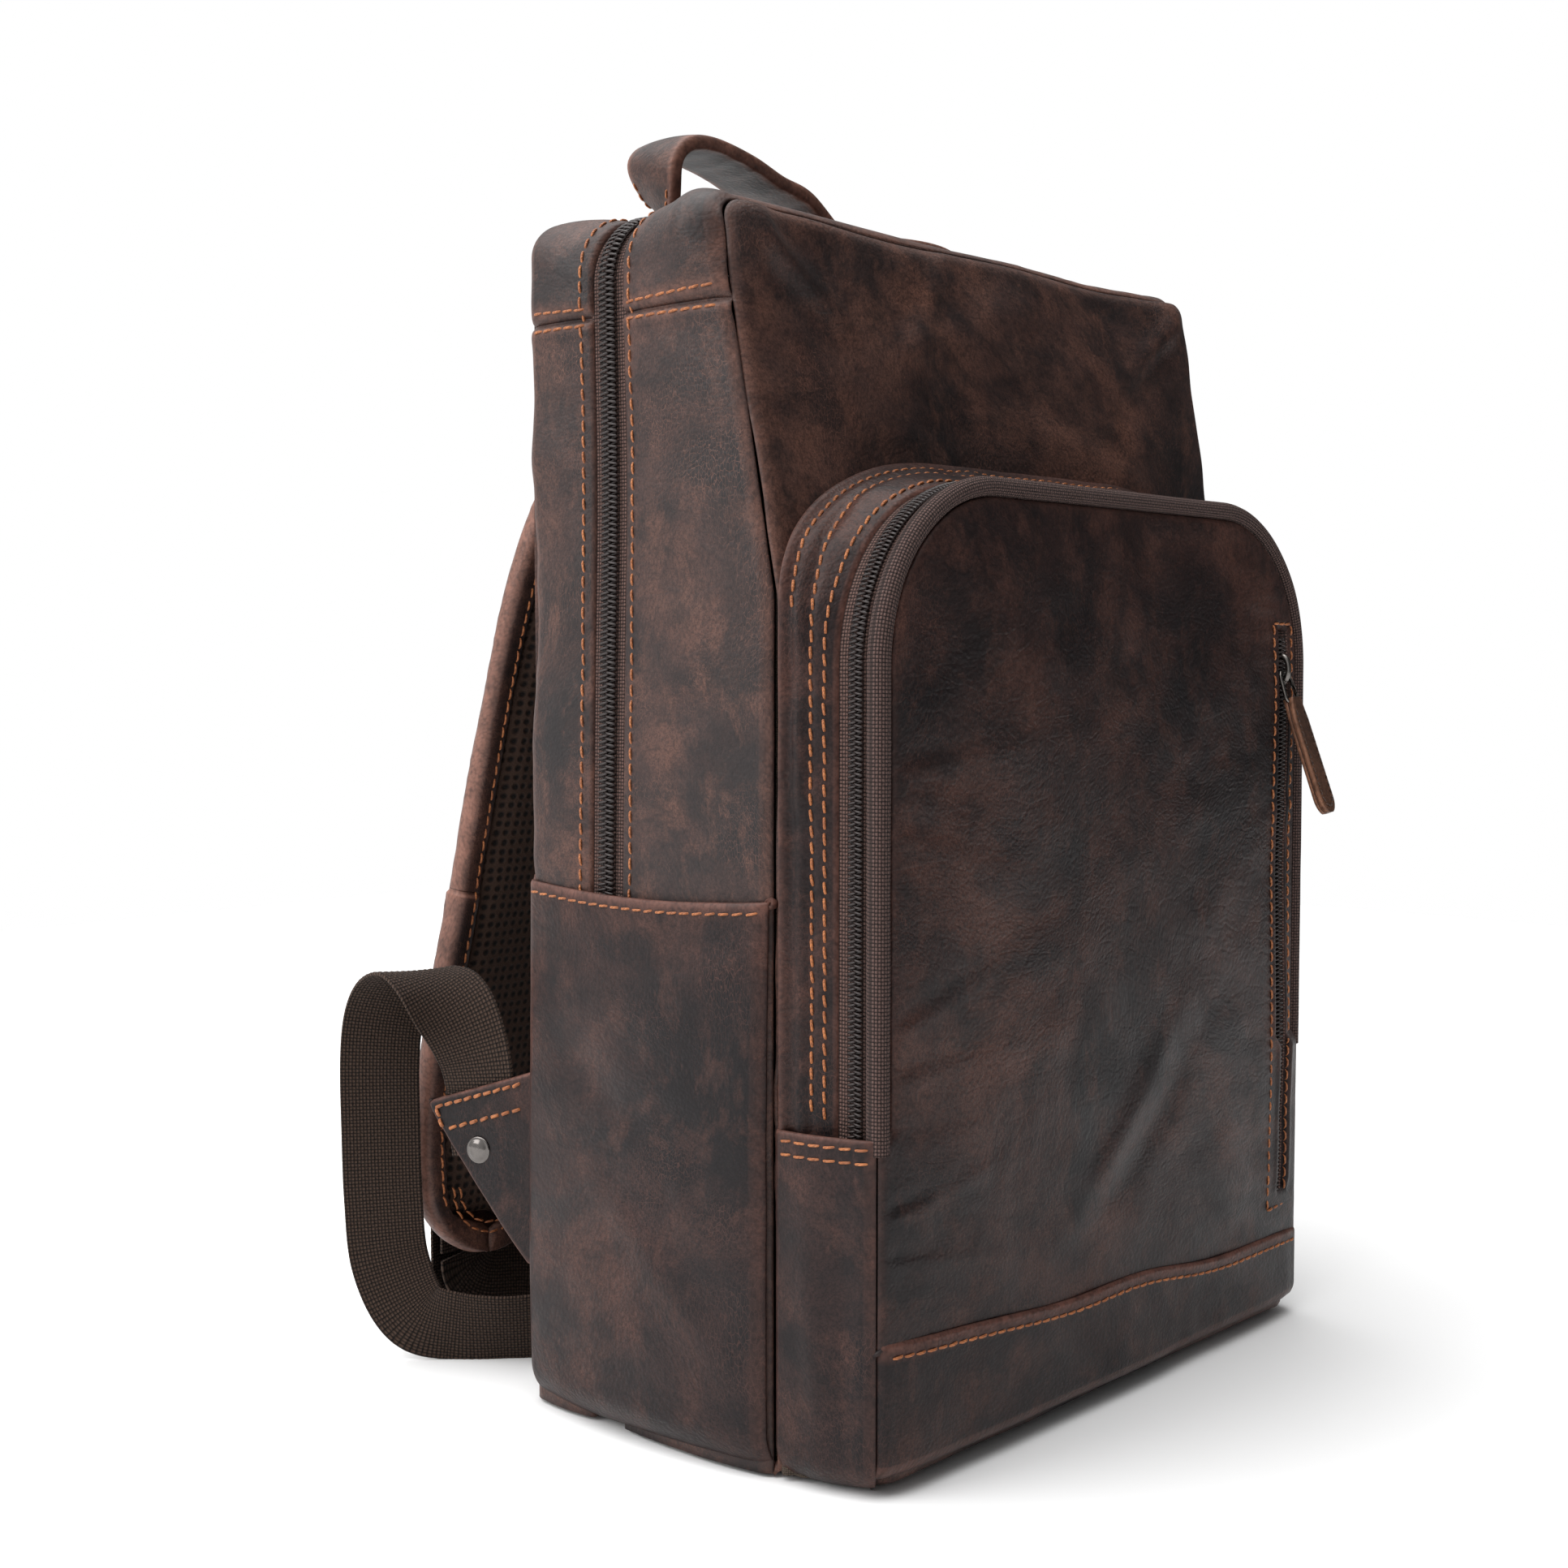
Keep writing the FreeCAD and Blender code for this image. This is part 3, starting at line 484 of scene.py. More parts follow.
# painted shade: a darker, less shiny copy of the leather for the side pockets, the front pocket with its wall, foot
# band and wraps, and the tabs; partly the darker tone of these pieces, partly painted shade
SHADED_DARK_LEATHER = leather_material("leather_dark_and_shaded", (0.0100, 0.0078, 0.0085), (0.031, 0.0165, 0.0150), (0.082, 0.037, 0.028),
                        gloss=(0.36, 0.54), shine=0.20)
EDGE = leather_material("leather_edge", (0.05, 0.02, 0.012), (0.12, 0.05, 0.028), (0.22, 0.09, 0.045), (0.5, 0.75))
PULL = leather_material("leather_pull", (0.03, 0.016, 0.012), (0.07, 0.034, 0.022), (0.13, 0.06, 0.035))
THREAD_MAT = thread_material("thread", (0.27, 0.082, 0.026), (0.50, 0.175, 0.056))
COIL_MAT = hard_material("coil", (0.016, 0.009, 0.008), 0.42)
DARK_THREAD = thread_material("dark_thread", (0.03, 0.014, 0.009), (0.075, 0.035, 0.02))
METAL = hard_material("gunmetal", (0.16, 0.148, 0.138), 0.30, metal=1.0)
METAL_BRIGHT = hard_material("rivet_metal", (0.120, 0.110, 0.104), 0.18, metal=1.0)
PLASTIC = hard_material("buckle_plastic", (0.012, 0.011, 0.011), 0.42)
# painted shade and highlight: in each woven material below, the first colour is the painted shade in the dips between
# threads, the second the raised threads with a painted highlight
TAPE_MAT = woven_material("zip_tape", (0.006, 0.004, 0.004), (0.150, 0.088, 0.074), 2600.0, 2600.0, depth=0.0006)
PIPING_MAT = woven_material("piping", (0.007, 0.005, 0.005), (0.130, 0.080, 0.070), 2600.0, 3000.0, depth=0.0006)
WEAVE = 2.6                        # repeat of the webbing's weave, in millimetres
WEBBING_SCALE = 2 * math.pi / (WEAVE * MM)
WEBBING_MAT = woven_material("webbing", (0.0035, 0.0024, 0.0020), (0.066, 0.041, 0.030), WEBBING_SCALE, WEBBING_SCALE,
                             depth=0.0006)
LINING_MAT = woven_material("lining", (0.040, 0.029, 0.022), (0.115, 0.085, 0.064), 4500.0, 4500.0, depth=0.0003)
MESH_MAT = mesh_material("spacer_mesh")
FOAM_MAT = hard_material("foam", (0.03, 0.03, 0.03), 0.9, scale=900.0)


# ---- surface of the main body -------------------------------------------------------------------
def front_line(z):
    return np.where(z <= KNEE, FRONT, FRONT + (FRONT_TOP - FRONT) * (z - KNEE) / (TOP - KNEE))


def arch(s, radius, half=HALF, top=TOP):
    """Points and outward directions, in x and z, of the arch that the side strips follow."""
    s = np.asarray(s, float)
    far = s > ARCH / 2
    t = np.where(far, ARCH - s, s)
    level = 388.5
    knee = np.where(t <= level, t, level + (t - level) / (SIDE - level) * (top - radius - level))
    turn = np.clip((t - SIDE) / ARC, 0, 1) * math.pi / 2
    on_arc, on_top = t > SIDE, t > SIDE + ARC
    x = np.where(on_arc, -half + radius * (1 - np.cos(turn)), -half)
    z = np.where(on_arc, top - radius + radius * np.sin(turn), knee)
    x = np.where(on_top, -half + radius + (t - SIDE - ARC) / (RUN / 2) * (half - radius), x)
    nx, nz = -np.cos(turn), np.sin(turn)
    sign = np.where(far, -1.0, 1.0)
    return x * sign, z, nx * sign, nz


COS_45 = 0.707


def edge_profile(kind, radius=7.0, dive=3.2, steps=9):
    """How an edge turns: distances in from the edge line, and depths below the face. A seam dives at 45 degrees."""
    if kind == "seam":
        q = list((1 - COS_45) * radius + COS_45 * dive * np.array([1.0, 0.62, 0.30, 0.10]))
        h = list(q)
        angle = np.linspace(math.pi / 4 * 0.93, 0, steps)
        q += list(radius * (1 - np.sin(angle)))
        h += list(radius * (1 - np.cos(angle)))
    else:
        angle = np.linspace(math.pi / 2, 0, steps - 3)
        q = [0.25, 0.0] + list(radius * (1 - np.sin(angle)))
        h = [radius + dive, radius + dive * 0.4] + list(radius * (1 - np.cos(angle)))
    return np.array(q), np.array(h)


def across(first, last, inner):
    """Samples across a panel: share of the width, distance added to it, and depth of its turned edges."""
    (qa, ha), (qb, hb) = first, last
    g = np.linspace(0, 1, inner + 2)[1:-1]
    share = np.concatenate([np.zeros(len(qa)), g, np.ones(len(qb))])
    a, b = qa[-1], qb[-1]
    off = np.concatenate([qa, a * (1 - g) - b * g, -qb[::-1]])
    depth = np.concatenate([ha, np.zeros(inner), hb[::-1]])
    return share, off, depth


SEAM = edge_profile("seam")
SMALL_SEAM = edge_profile("seam", 3.0, 2.2, 7)
FOLD = edge_profile("fold", 1.5, 1.6)


def side_shape(y, z):
    """How far the sides stand out, in millimetres: fuller low down, slack at mid height."""
    f = np.clip((y - FRONT) / (BACK - FRONT), 0, 1)
    hump = np.sin(np.pi * f) ** 0.7
    profile = 2.6 * bell(z, 90, 110) - 1.8 * bell(z, 330, 60) + 1.0
    return hump * profile


def sag(x):
    """The front seam's dip between its two raised corners."""
    away = np.abs(x)
    return -0.9 * (1 - np.clip(away / 137, 0, 1) ** 4) + 0.7 * np.sin(x / 21.0 + 0.8) * smooth((120 - away) / 30)


def top_shape(x, f, front):
    """The top stands a little proud along the zip. The front seam sags between its corners."""
    crown = 3.2 * bell(x, 0, 90)
    return crown * f + sag(x) * (1 - f) ** 1.5 if front else crown * (1 - f)


def corner_radius(y):
    """The body's upper corners are tight at the front and back seams and rounder at the zip."""
    return np.interp(y, [-50, -16, 20, ZIP_Y, 56, BACK], [9, 9, 19, REF_R, 19, 10])


def yoke_distance(s):
    return np.minimum(np.abs(s - YOKE), np.abs(ARCH - s - YOKE))


def strip_point(s, share, off, depth, y0, y1, seed):
    """A point on the strips that run up the sides and over the top. y0 may be a number or "front"."""
    s, share, off, depth = np.broadcast_arrays(*(np.asarray(v, float) for v in (s, share, off, depth)))
    _, z_guess, _, _ = arch(s, 14.0)
    low = front_line(z_guess) if isinstance(y0, str) else y0
    y = low * (1 - share) + y1 * share + off
    x, z, nx, nz = arch(s, corner_radius(y))
    p = np.stack([x, y, z], -1)
    n = upright(nx, nz)
    width = y1 - low
    f = np.clip((y - low) / width, 0, 1)
    swell = 2.0 * np.sin(np.pi * f) ** 0.8
    swell = swell + side_shape(y, z) * np.abs(nx) + top_shape(x, f, isinstance(y0, str)) * nz
    yoke = yoke_distance(s)
    swell = swell - 1.6 * bell(yoke, 0, 1.3) + 0.5 * bell(yoke, 4, 3.0)
    calm = smooth(np.minimum(f * width, (1 - f) * width) / 14 + 0.25)
    if isinstance(y0, str):
        high = smooth((z - 384) / 26)
        swell = swell + high * (3.4 * bell(y - low, 15, 9) - 1.6 * bell(y - low, 1, 4)) * np.abs(nx) ** 0.5
    else:
        slack = np.abs(nx) * smooth((z - 150) / 60) * smooth((380 - z) / 40) * f
        swell = swell + slack * (2.2 * noise(np.stack([x * 0.2, 0 * y, z * 1.0], -1), 34, 17)
                                 + 0.9 * noise(np.stack([x * 0.2, y * 0.3, z * 1.0], -1), 11, 18))
    swell = swell + leather_relief(p, seed, 0.9) * calm
    return p + n * (swell - depth)[..., None]


def strip_rows():
    """Heights along the arch: closer together at the rounded corners and at the yoke seams."""
    left = np.concatenate([spaced(1.5, 380, 2.6)[:-1], spaced(380, 396, 0.7)[:-1], spaced(396, SIDE + ARC, 1.3)[:-1]])
    middle = spaced(SIDE + ARC, ARCH - SIDE - ARC, 2.6)
    return np.concatenate([left, middle, (ARCH - left)[::-1]])


ROWS = strip_rows()


def strip_piece(name, s_values, samples, y0, y1, where, seed):
    share, off, depth = samples
    s = s_values[:, None]
    p = strip_point(s, share[None], off[None], depth[None], y0, y1, seed)
    edge = np.broadcast_to(edge_wear(depth), p.shape[:2])
    wear = np.clip(0.28 * edge + 0.35 * bell(yoke_distance(s), 2.6, 1.2), 0, 1)
    flat = np.flatnonzero(depth == 0)[::3]
    q = p[:, flat]
    cloth(name + "_lining", q - outward_normals(q) * 2.0, where)
    return sheet(name, p, LEATHER, where, seed=seed, wear=wear)


def line_on(surface, nx, nz):
    """A line on a surface, and its normals from small steps along and across, turned the way of nx and nz."""
    n = unit(np.cross(surface(0.5, 0) - surface(-0.5, 0), surface(0, 0.5) - surface(0, -0.5)))
    return surface(0, 0), n * np.sign(n[:, 0] * nx + n[:, 2] * nz)[:, None]


def strip_path(s_values, share, off, y0, y1, seed):
    """A line of stitches on a strip, with the strip's normals."""
    s = np.asarray(s_values, float)
    share, off = np.broadcast_to(share, s.shape), np.broadcast_to(off, s.shape)
    return line_on(lambda ds, db: strip_point(s + ds, share, off + db, 0.0, y0, y1, seed), *arch(s, 14.0)[2:])


def parts_of(rows, low, high):
    return rows[(rows >= low - 1e-6) & (rows <= high + 1e-6)]


YOKE_FAR = ARCH - YOKE
REAR_SEED, FRONT_SEED = 3, 8
REAR_Y0 = ZIP_Y + SLOT
FRONT_Y1 = ZIP_Y - SLOT


def main_strips():
    rear = across(FOLD, SEAM, 10)
    front = across(SEAM, FOLD, 22)
    rows = np.unique(np.concatenate([ROWS, [YOKE, YOKE_FAR]]))
    left, top, right = (parts_of(rows, 0, YOKE), parts_of(rows, YOKE, YOKE_FAR), parts_of(rows, YOKE_FAR, ARCH))
    for tag, samples, y0, y1, seed in (("rear", rear, REAR_Y0, BACK, REAR_SEED),
                                       ("front", front, "front", FRONT_Y1, FRONT_SEED)):
        body = "bag" if tag == "rear" else "mouth"
        for side, rows_here in (("left", left), ("top", top), ("right", right)):
            where = body if side == "top" or tag == "rear" else "mouth_bend"
            strip_piece(f"{side}_strip_{tag}", rows_here, samples, y0, y1, where, seed)
    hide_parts("gusset_rear")
    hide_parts("top_strip_rear")
    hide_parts("gusset_front_left", "gusset_front_upper")
    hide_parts("gusset_front_right")
    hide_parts("top_strip_front")


# ---- flat panels -----------------------------------------------------------------------------------
FAR = 1000.0                       # a centre this far off makes a sheet look straight away from it


class Plate:
    """An upright panel with two rounded upper corners. The outline's arcs are centred on (cx, cz)."""

    def __init__(self, cx, cz, radius, foot, turn, dive, face, sign, seed, turn_foot=True, fine_at=None):
        self.cx, self.cz, self.radius, self.foot = cx, cz, radius, foot
        self.turn, self.dive, self.face, self.sign, self.seed = turn, dive, face, sign, seed
        self.turn_foot = turn_foot         # whether the foot's edge is turned like the others
        self.fine_at = fine_at             # a range of x with finer columns

    def edge(self, x, z):
        """Distance in from the outline."""
        x = np.abs(x)
        corner = self.radius - np.hypot(np.maximum(x - self.cx, 0), np.maximum(z - self.cz, 0))
        plain = np.minimum(self.cx + self.radius - x, self.cz + self.radius - z)
        return np.where((x > self.cx) & (z > self.cz), corner, plain)

    def point(self, x, z):
        """The outer face. sign is -1 where it looks towards -Y."""
        d = self.edge(x, z)
        low = np.minimum(d, z - self.foot) if self.turn_foot else d
        y, lift = self.face(x, z, d)
        return np.stack([x, y + self.sign * (lift - rounded_edge(low, self.turn)), z], -1)

    def grid(self, step, low=None):
        """x and z of a grid that follows the outline, its edge rows a little inside it."""
        inset = (1 - COS_45) * self.turn
        r = self.radius - inset
        foot = (self.foot + inset) if low is None else low
        fine = max(self.turn * 1.1, 3)
        rows = [spaced(foot, foot + fine, 1.0)[:-1], spaced(foot + fine, self.cz, step)[:-1]]
        angle = np.linspace(0, math.pi / 2, max(int(r * math.pi / 2 / (step * 0.6)), 9))
        rows.append(self.cz + r * np.sin(angle))
        z = np.concatenate(rows)
        width = self.cx + np.where(z > self.cz, np.sqrt(np.maximum(r ** 2 - (z - self.cz) ** 2, 0)), r)
        full = self.cx + r
        fine_x = spaced(full - fine, full, 1.0)
        half = np.concatenate([spaced(0, full - fine, step)[:-1], fine_x]) / full
        share = np.concatenate([-half[:0:-1], half])
        if self.fine_at:
            low_share, high_share = self.fine_at[0] / full, self.fine_at[1] / full
            share = share[(share < low_share - 0.002) | (share > high_share + 0.002)]
            share = np.sort(np.concatenate([share, spaced(low_share, high_share, 0.5 / full)]))
        return share[None] * width[:, None], np.broadcast_to(z[:, None], (len(z), len(share)))

    def piece(self, name, material, where, step=2.6, low=None, shift=None, lining=()):
        """The panel with its turned edges, and a lining behind it. shift moves the finished grid."""
        x, z = self.grid(step, low)
        p = self.point(x, z)
        wear = 0.25 * np.exp(-np.abs(self.edge(x, z) - self.turn * 0.45) / 1.2)
        if shift is not None:
            p, wear = shift(p, wear)
        centre = np.array([0, -self.sign * FAR, 200])
        inside = p[2:-2:2, 3:-3:2] - np.array([0, self.sign * 2.2, 0])
        cloth(name + "_lining", inside, where, centre, 0.5, *lining)
        deep = COS_45 * self.dive
        skirt = np.pad(p, ((1, 1), (1, 1), (0, 0)), mode="edge")
        skirt[0, :, 2] += deep
        skirt[-1, :, 2] -= deep
        skirt[:, 0, 0] += deep
        skirt[:, -1, 0] -= deep
        for part in (skirt[0], skirt[-1], skirt[1:-1, 0], skirt[1:-1, -1]):
            part[..., 1] -= self.sign * deep
        return sheet(name, skirt, material, where, 1.6, centre, self.seed, skirt[..., [0, 2, 1]] * MM, np.pad(wear, 1))

    def path(self, x, z, lift):
        """A line on the outer face, raised by lift, and its normals."""
        p = self.point(x, z)
        n = unit(np.cross(self.point(x + 0.5, z) - p, self.point(x, z + 0.5) - p))
        n *= np.sign(n[:, 1:2]) * self.sign
        return p + n * lift, n


def front_face(x, z, d):
    """The main front panel: leans back above its knee, soft and lightly dented."""
    p = np.stack([x, np.zeros_like(x), z], -1)
    fullness = 3.0 * (1 - np.exp(-d / 30))
    folds = 1.6 * bell(z - 0.35 * x, 398, 9) * smooth((x + 120) / 60) * smooth((70 - x) / 60)
    folds = folds - 1.5 * bell(z + 0.25 * x, 372, 8) * smooth((x + 20) / 50) * smooth((130 - x) / 60)
    folds = folds + 1.3 * bell(x - 0.8 * (z - 400), -38, 7) * smooth((z - 352) / 30)
    corner = HALF - np.abs(x)
    fold_line = (TOP - z) - 0.62 * corner
    folds = folds + 3.2 * bell(corner, 15, 10) * smooth((z - 382) / 26)
    folds = folds + 2.6 * bell(fold_line, 2, 6) * smooth((corner - 8) / 14) * smooth((70 - corner) / 40)
    folds = folds - 2.0 * bell(fold_line, 14, 9) * smooth((corner - 8) / 14) * smooth((80 - corner) / 40)
    return front_line(z), fullness + folds + leather_relief(p, 21, 1.25)


def back_face(x, z, d):
    p = np.stack([x, np.full_like(x, 60), z], -1)
    return np.full_like(x, BACK), 1.2 * (1 - np.exp(-d / 25)) + leather_relief(p, 33, 0.35)


FRONT_PLATE = Plate(HALF - 9, TOP - 9, 9, 0, 7, 3.2, front_face, -1, 21)
BACK_PLATE = Plate(HALF - 10, TOP - 10, 10, 0, 7, 3.2, back_face, 1, 33)


def main_faces():
    def dip(p, wear):
        p = p.copy()
        p[..., 2] += sag(p[..., 0]) * smooth((p[..., 2] - 372) / 50)
        return p, wear

    front = FRONT_PLATE.piece("front_panel", LEATHER, "mouth_bend", shift=dip, lining=("mouth_lining",))
    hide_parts("front_panel_lower", "front_panel_upper", "pocket_welt")
    back = BACK_PLATE.piece("back_leather", LEATHER, "bag", step=4, lining=("main_lining",))
    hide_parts("back_panel", "back_foam")
    x = np.concatenate([[-HALF + 3], spaced(-HALF + 5, HALF - 5, 6), [HALF - 3]])
    y = np.concatenate([[FRONT + 2], spaced(FRONT + 5, BACK - 5, 6), [BACK - 2]])
    gx, gy = np.meshgrid(x, y)
    edge = np.minimum(HALF - np.abs(gx), np.minimum(gy - FRONT, BACK - gy))
    gz = np.where(edge < 4.5, 1.6, 0.0)
    base = sheet("base_leather", np.stack([gx, gy, gz], -1), LEATHER, "bag", 1.6, seed=40)
    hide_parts("base_panel")


# ---- main zip ---------------------------------------------------------------------------------------
TAPE_THICK = 0.7


def zip_surface(s, y):
    """Points of the main zip and their normals: s runs along the arch, y across the zip."""
    s, y = np.broadcast_arrays(np.asarray(s, float), y)
    x, z, nx, nz = arch(s, REF_R)
    n = upright(nx, nz)
    rise = side_shape(y, z) * np.abs(nx) + 3.2 * bell(x, 0, 90) * nz - 1.2
    return np.stack([x, y, z], -1) + n * rise[..., None], n


def main_zip():
    """Tapes under the two leather edges, and the two sides of the coil between them."""
    s = spaced(172, ARCH - 172, 3.0)[:, None]
    for tag, y0, y1, where, nodes in (("rear", ZIP_Y + 0.15, ZIP_Y + 9.5, "bag", ("main_zip_rear",)),
                                      ("front", ZIP_Y - 9.5, ZIP_Y - 0.15, "mouth_bend",
                                       ("main_zip_front_lower", "main_zip_front_upper"))):
        y = y0 + (y1 - y0) * np.linspace(0, 1, 9)[None]
        fab = np.stack(np.broadcast_arrays(s * MM, y * MM, 0 * s), -1)
        tape = sheet(f"main_tape_{tag}", zip_surface(s, y)[0], TAPE_MAT, where, TAPE_THICK, seed=5, fab=fab)
        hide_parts(*nodes)
    middle, n = zip_surface(spaced(173, ARCH - 173, 1.0), ZIP_Y)
    for tag, hand, where in (("rear", 1, "bag"), ("front", -1, "mouth_bend")):
        obj = coil(f"main_coil_{tag}", middle, n, hand, where, COIL_MAT, half=3.9)


def main_stitching():
    rows = spaced(186, ARCH - 186, 3.0)
    inset = 4.4
    rear = strip_path(rows, 0.0, inset, REAR_Y0, BACK, REAR_SEED)
    stitches("stitch_zip_rear", [rear], "bag", THREAD_MAT)
    front = strip_path(rows, 1.0, -inset, "front", FRONT_Y1, FRONT_SEED)
    stitches("stitch_zip_front", [front], "mouth_bend", THREAD_MAT)
    g = np.linspace(0, 1, 40)
    paths = {"rear": [], "front": []}
    for s in (YOKE - 2.6, YOKE + 2.6, YOKE_FAR - 2.6, YOKE_FAR + 2.6):
        paths["rear"].append(strip_path(0 * g + s, g, 2.4 * (1 - g) - 6 * g, REAR_Y0, BACK, REAR_SEED))
        paths["front"].append(strip_path(0 * g + s, g, 6 * (1 - g) - 2.4 * g, "front", FRONT_Y1, FRONT_SEED))
    stitches("stitch_yoke_rear", paths["rear"], "bag", THREAD_MAT)
    stitches("stitch_yoke_front", paths["front"], "mouth", THREAD_MAT)


# ---- side pockets -----------------------------------------------------------------------------------
def side_pockets():
    share, off, depth = across(SEAM, SEAM, 40)
    angle = np.linspace(math.pi / 2 * 0.95, 0, 15)
    turn_q, turn_h = 0.3 + 15.0 * (1 - np.sin(angle)), 15.0 * (1 - np.cos(angle))
    rows = list(zip(turn_q, turn_h)) + [(z, 0.0) for z in spaced(turn_q[-1] + 2, 187, 2.8)]
    rows += [(188.6, 0.0), (189.9, 0.1), (190.7, 0.55), (191.0, 1.3), (190.6, 2.2), (189.0, 2.9)]
    z0, h0 = (column[:, None] for column in np.array(rows).T)

    def point(z, h, f, o, d):
        """Height, depth turned under at the foot and mouth, share of the depth, and the edge's offset and depth."""
        y = FRONT * (1 - f) + BACK * f + o
        g = np.clip((y - FRONT) / (BACK - FRONT), 0, 1)
        belly = np.sin(np.pi * g) ** 0.5
        fullness = np.interp(z, [0, 15, 60, 100, 150, 191], [6.5, 8.6, 9.6, 8.8, 7.0, 4.8])
        p = np.stack(np.broadcast_arrays(-HALF + 0 * y * z, y, z + 0 * y), -1)
        crease = 1.4 * bell(p[..., 2] + 0.30 * (p[..., 1] - 20), 150, 10) * bell(g, 0.30, 0.22)
        crease = crease - 1.6 * bell(p[..., 2] - 0.45 * (p[..., 1] - 20), 118, 12) * bell(g, 0.72, 0.22)
        crease = crease + 1.2 * bell(p[..., 2] - 0.9 * (p[..., 1] - 10), 70, 9) * bell(g, 0.35, 0.25)
        calm = smooth(np.minimum(g, 1 - g) * 8 + 0.2)
        out = 2.0 + fullness * belly + (crease + leather_relief(p, 51, 1.15)) * calm - d - h
        zz = p[..., 2] - 2.6 * np.sin(np.pi * g) * smooth((p[..., 2] - 140) / 50)
        return np.stack([-HALF - out, p[..., 1], zz], -1)

    p = point(z0, h0, share[None], off[None], depth[None])
    wear = 0.28 * edge_wear(depth[None]) + 0.8 * bell(z0, 190.5, 2.0)
    wear = np.broadcast_to(np.clip(wear, 0, 1), p.shape[:2])
    y = np.linspace(0, 1, 60)
    line = point(0 * y + 187.2, 0 * y, y, 4.5 * (1 - y) - 4.5 * y, 0 * y)
    below = point(0 * y + 186.4, 0 * y, y, 4.5 * (1 - y) - 4.5 * y, 0 * y)
    n = unit(np.cross(np.gradient(line, axis=0), line - below))
    n *= np.sign(-n[:, :1])
    for side, sign in SIDES:
        flip = np.array([sign, 1, 1])
        obj = sheet(f"pocket_skin_{side}", p * flip, SHADED_DARK_LEATHER, "bag", 1.5, seed=51, wear=wear)
        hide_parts(f"side_pocket_{side}")
        stitches(f"stitch_side_pocket_{side}", [(line * flip, n * flip)], "bag", THREAD_MAT)


# ---- front pocket -----------------------------------------------------------------------------------
PX, PZ = 75.0, 267.0               # centre of the pocket's rounded upper corner
P_ARC = 62 * math.pi / 2
P_RUN = 2 * PX
P_ARCH = 2 * PZ + 2 * P_ARC + P_RUN
REAR_ELLIPSE = np.array([53.0, 288.0, 91.0, 49.0])
ZIP_CIRCLE = np.array([75.0, 267.0, 61.0, 61.0])


def pocket_arch(s, t):
    """Outline of the front pocket. t is 0 where it leaves the body and 1 at the zip."""
    s, t = np.broadcast_arrays(np.asarray(s, float), np.asarray(t, float))
    cx, cz, rx, rz = (REAR_ELLIPSE[k] * (1 - t) + ZIP_CIRCLE[k] * t for k in range(4))
    far = s > P_ARCH / 2
    u = np.where(far, P_ARCH - s, s)
    turn = np.clip((u - PZ) / P_ARC, 0, 1) * math.pi / 2
    x = -cx - rx * np.cos(turn)
    z = np.where(u < PZ, u * cz / PZ, cz + rz * np.sin(turn))
    on_top = u > PZ + P_ARC
    x = np.where(on_top, -cx * (1 - (u - PZ - P_ARC) / (P_RUN / 2)), x)
    nx, nz = -np.cos(turn) * rz, np.sin(turn) * rx
    size = np.hypot(nx, nz)
    sign = np.where(far, -1.0, 1.0)
    return x * sign, z, nx / size * sign, nz / size


GUSSET_FRONT, POCKET_ZIP = -60.3, -67.8
HEM = 117.0


def gusset_point(s, share, off, depth):
    """The leather wall of the front pocket, from the body to the zip."""
    s, share, off, depth = np.broadcast_arrays(*(np.asarray(v, float) for v in (s, share, off, depth)))
    _, z_guess, _, _ = pocket_arch(s, 0.0)
    rear = front_line(z_guess) - 1.0 - 1.2 * smooth((z_guess - 285) / 20)
    y = rear * (1 - share) + GUSSET_FRONT * share - off
    t = np.clip((rear - y) / (rear - GUSSET_FRONT), 0, 1)
    x, z, nx, nz = pocket_arch(s, smooth(t * 0.92 + 0.04) * 0.6 + t * 0.4)
    p = np.stack([x, y, z], -1)
    swell = 1.6 * np.sin(np.pi * t) ** 0.8 - 0.9 * bell(t * (rear - GUSSET_FRONT), 9.0, 3.0) * smooth((z - 270) / 30)
    back = rear - y
    for size, place, width in ((1.3, 1.6, 1.5), (-0.9, 4.6, 1.3), (0.3, 7.6, 1.2), (-0.8, 10.6, 1.2)):
        swell = swell + size * bell(back, place, width)
    ripples = 0.8 * noise(np.stack([s * 0.45, y, 0 * y], -1), 7.0, 77) * smooth((z - 180) / 60)
    swell = swell + leather_relief(p, 71, 0.5) * np.sin(np.pi * t) + ripples * np.sin(np.pi * t)
    return p + upright(nx, nz) * (swell - depth)[..., None]


def gusset_path(s, share, off):
    return line_on(lambda ds, db: gusset_point(s + ds, share, off + db, 0.0), *pocket_arch(s, 0.5)[2:])


def pocket_rows(low):
    half = np.concatenate([spaced(low, PZ, 2.8)[:-1], spaced(PZ, PZ + P_ARC, 1.8)[:-1]])
    middle = spaced(PZ + P_ARC, P_ARCH - PZ - P_ARC, 3.0)
    return np.concatenate([half, middle, (P_ARCH - half)[::-1]])


def zip_line(s, y, out):
    """Points round the pocket's zip, moved out along their normals, and the normals."""
    s, y = np.broadcast_arrays(np.asarray(s, float), y)
    x, z, nx, nz = pocket_arch(s, 1.0)
    n = upright(nx, nz)
    return np.stack([x, y, z], -1) + n * out, n


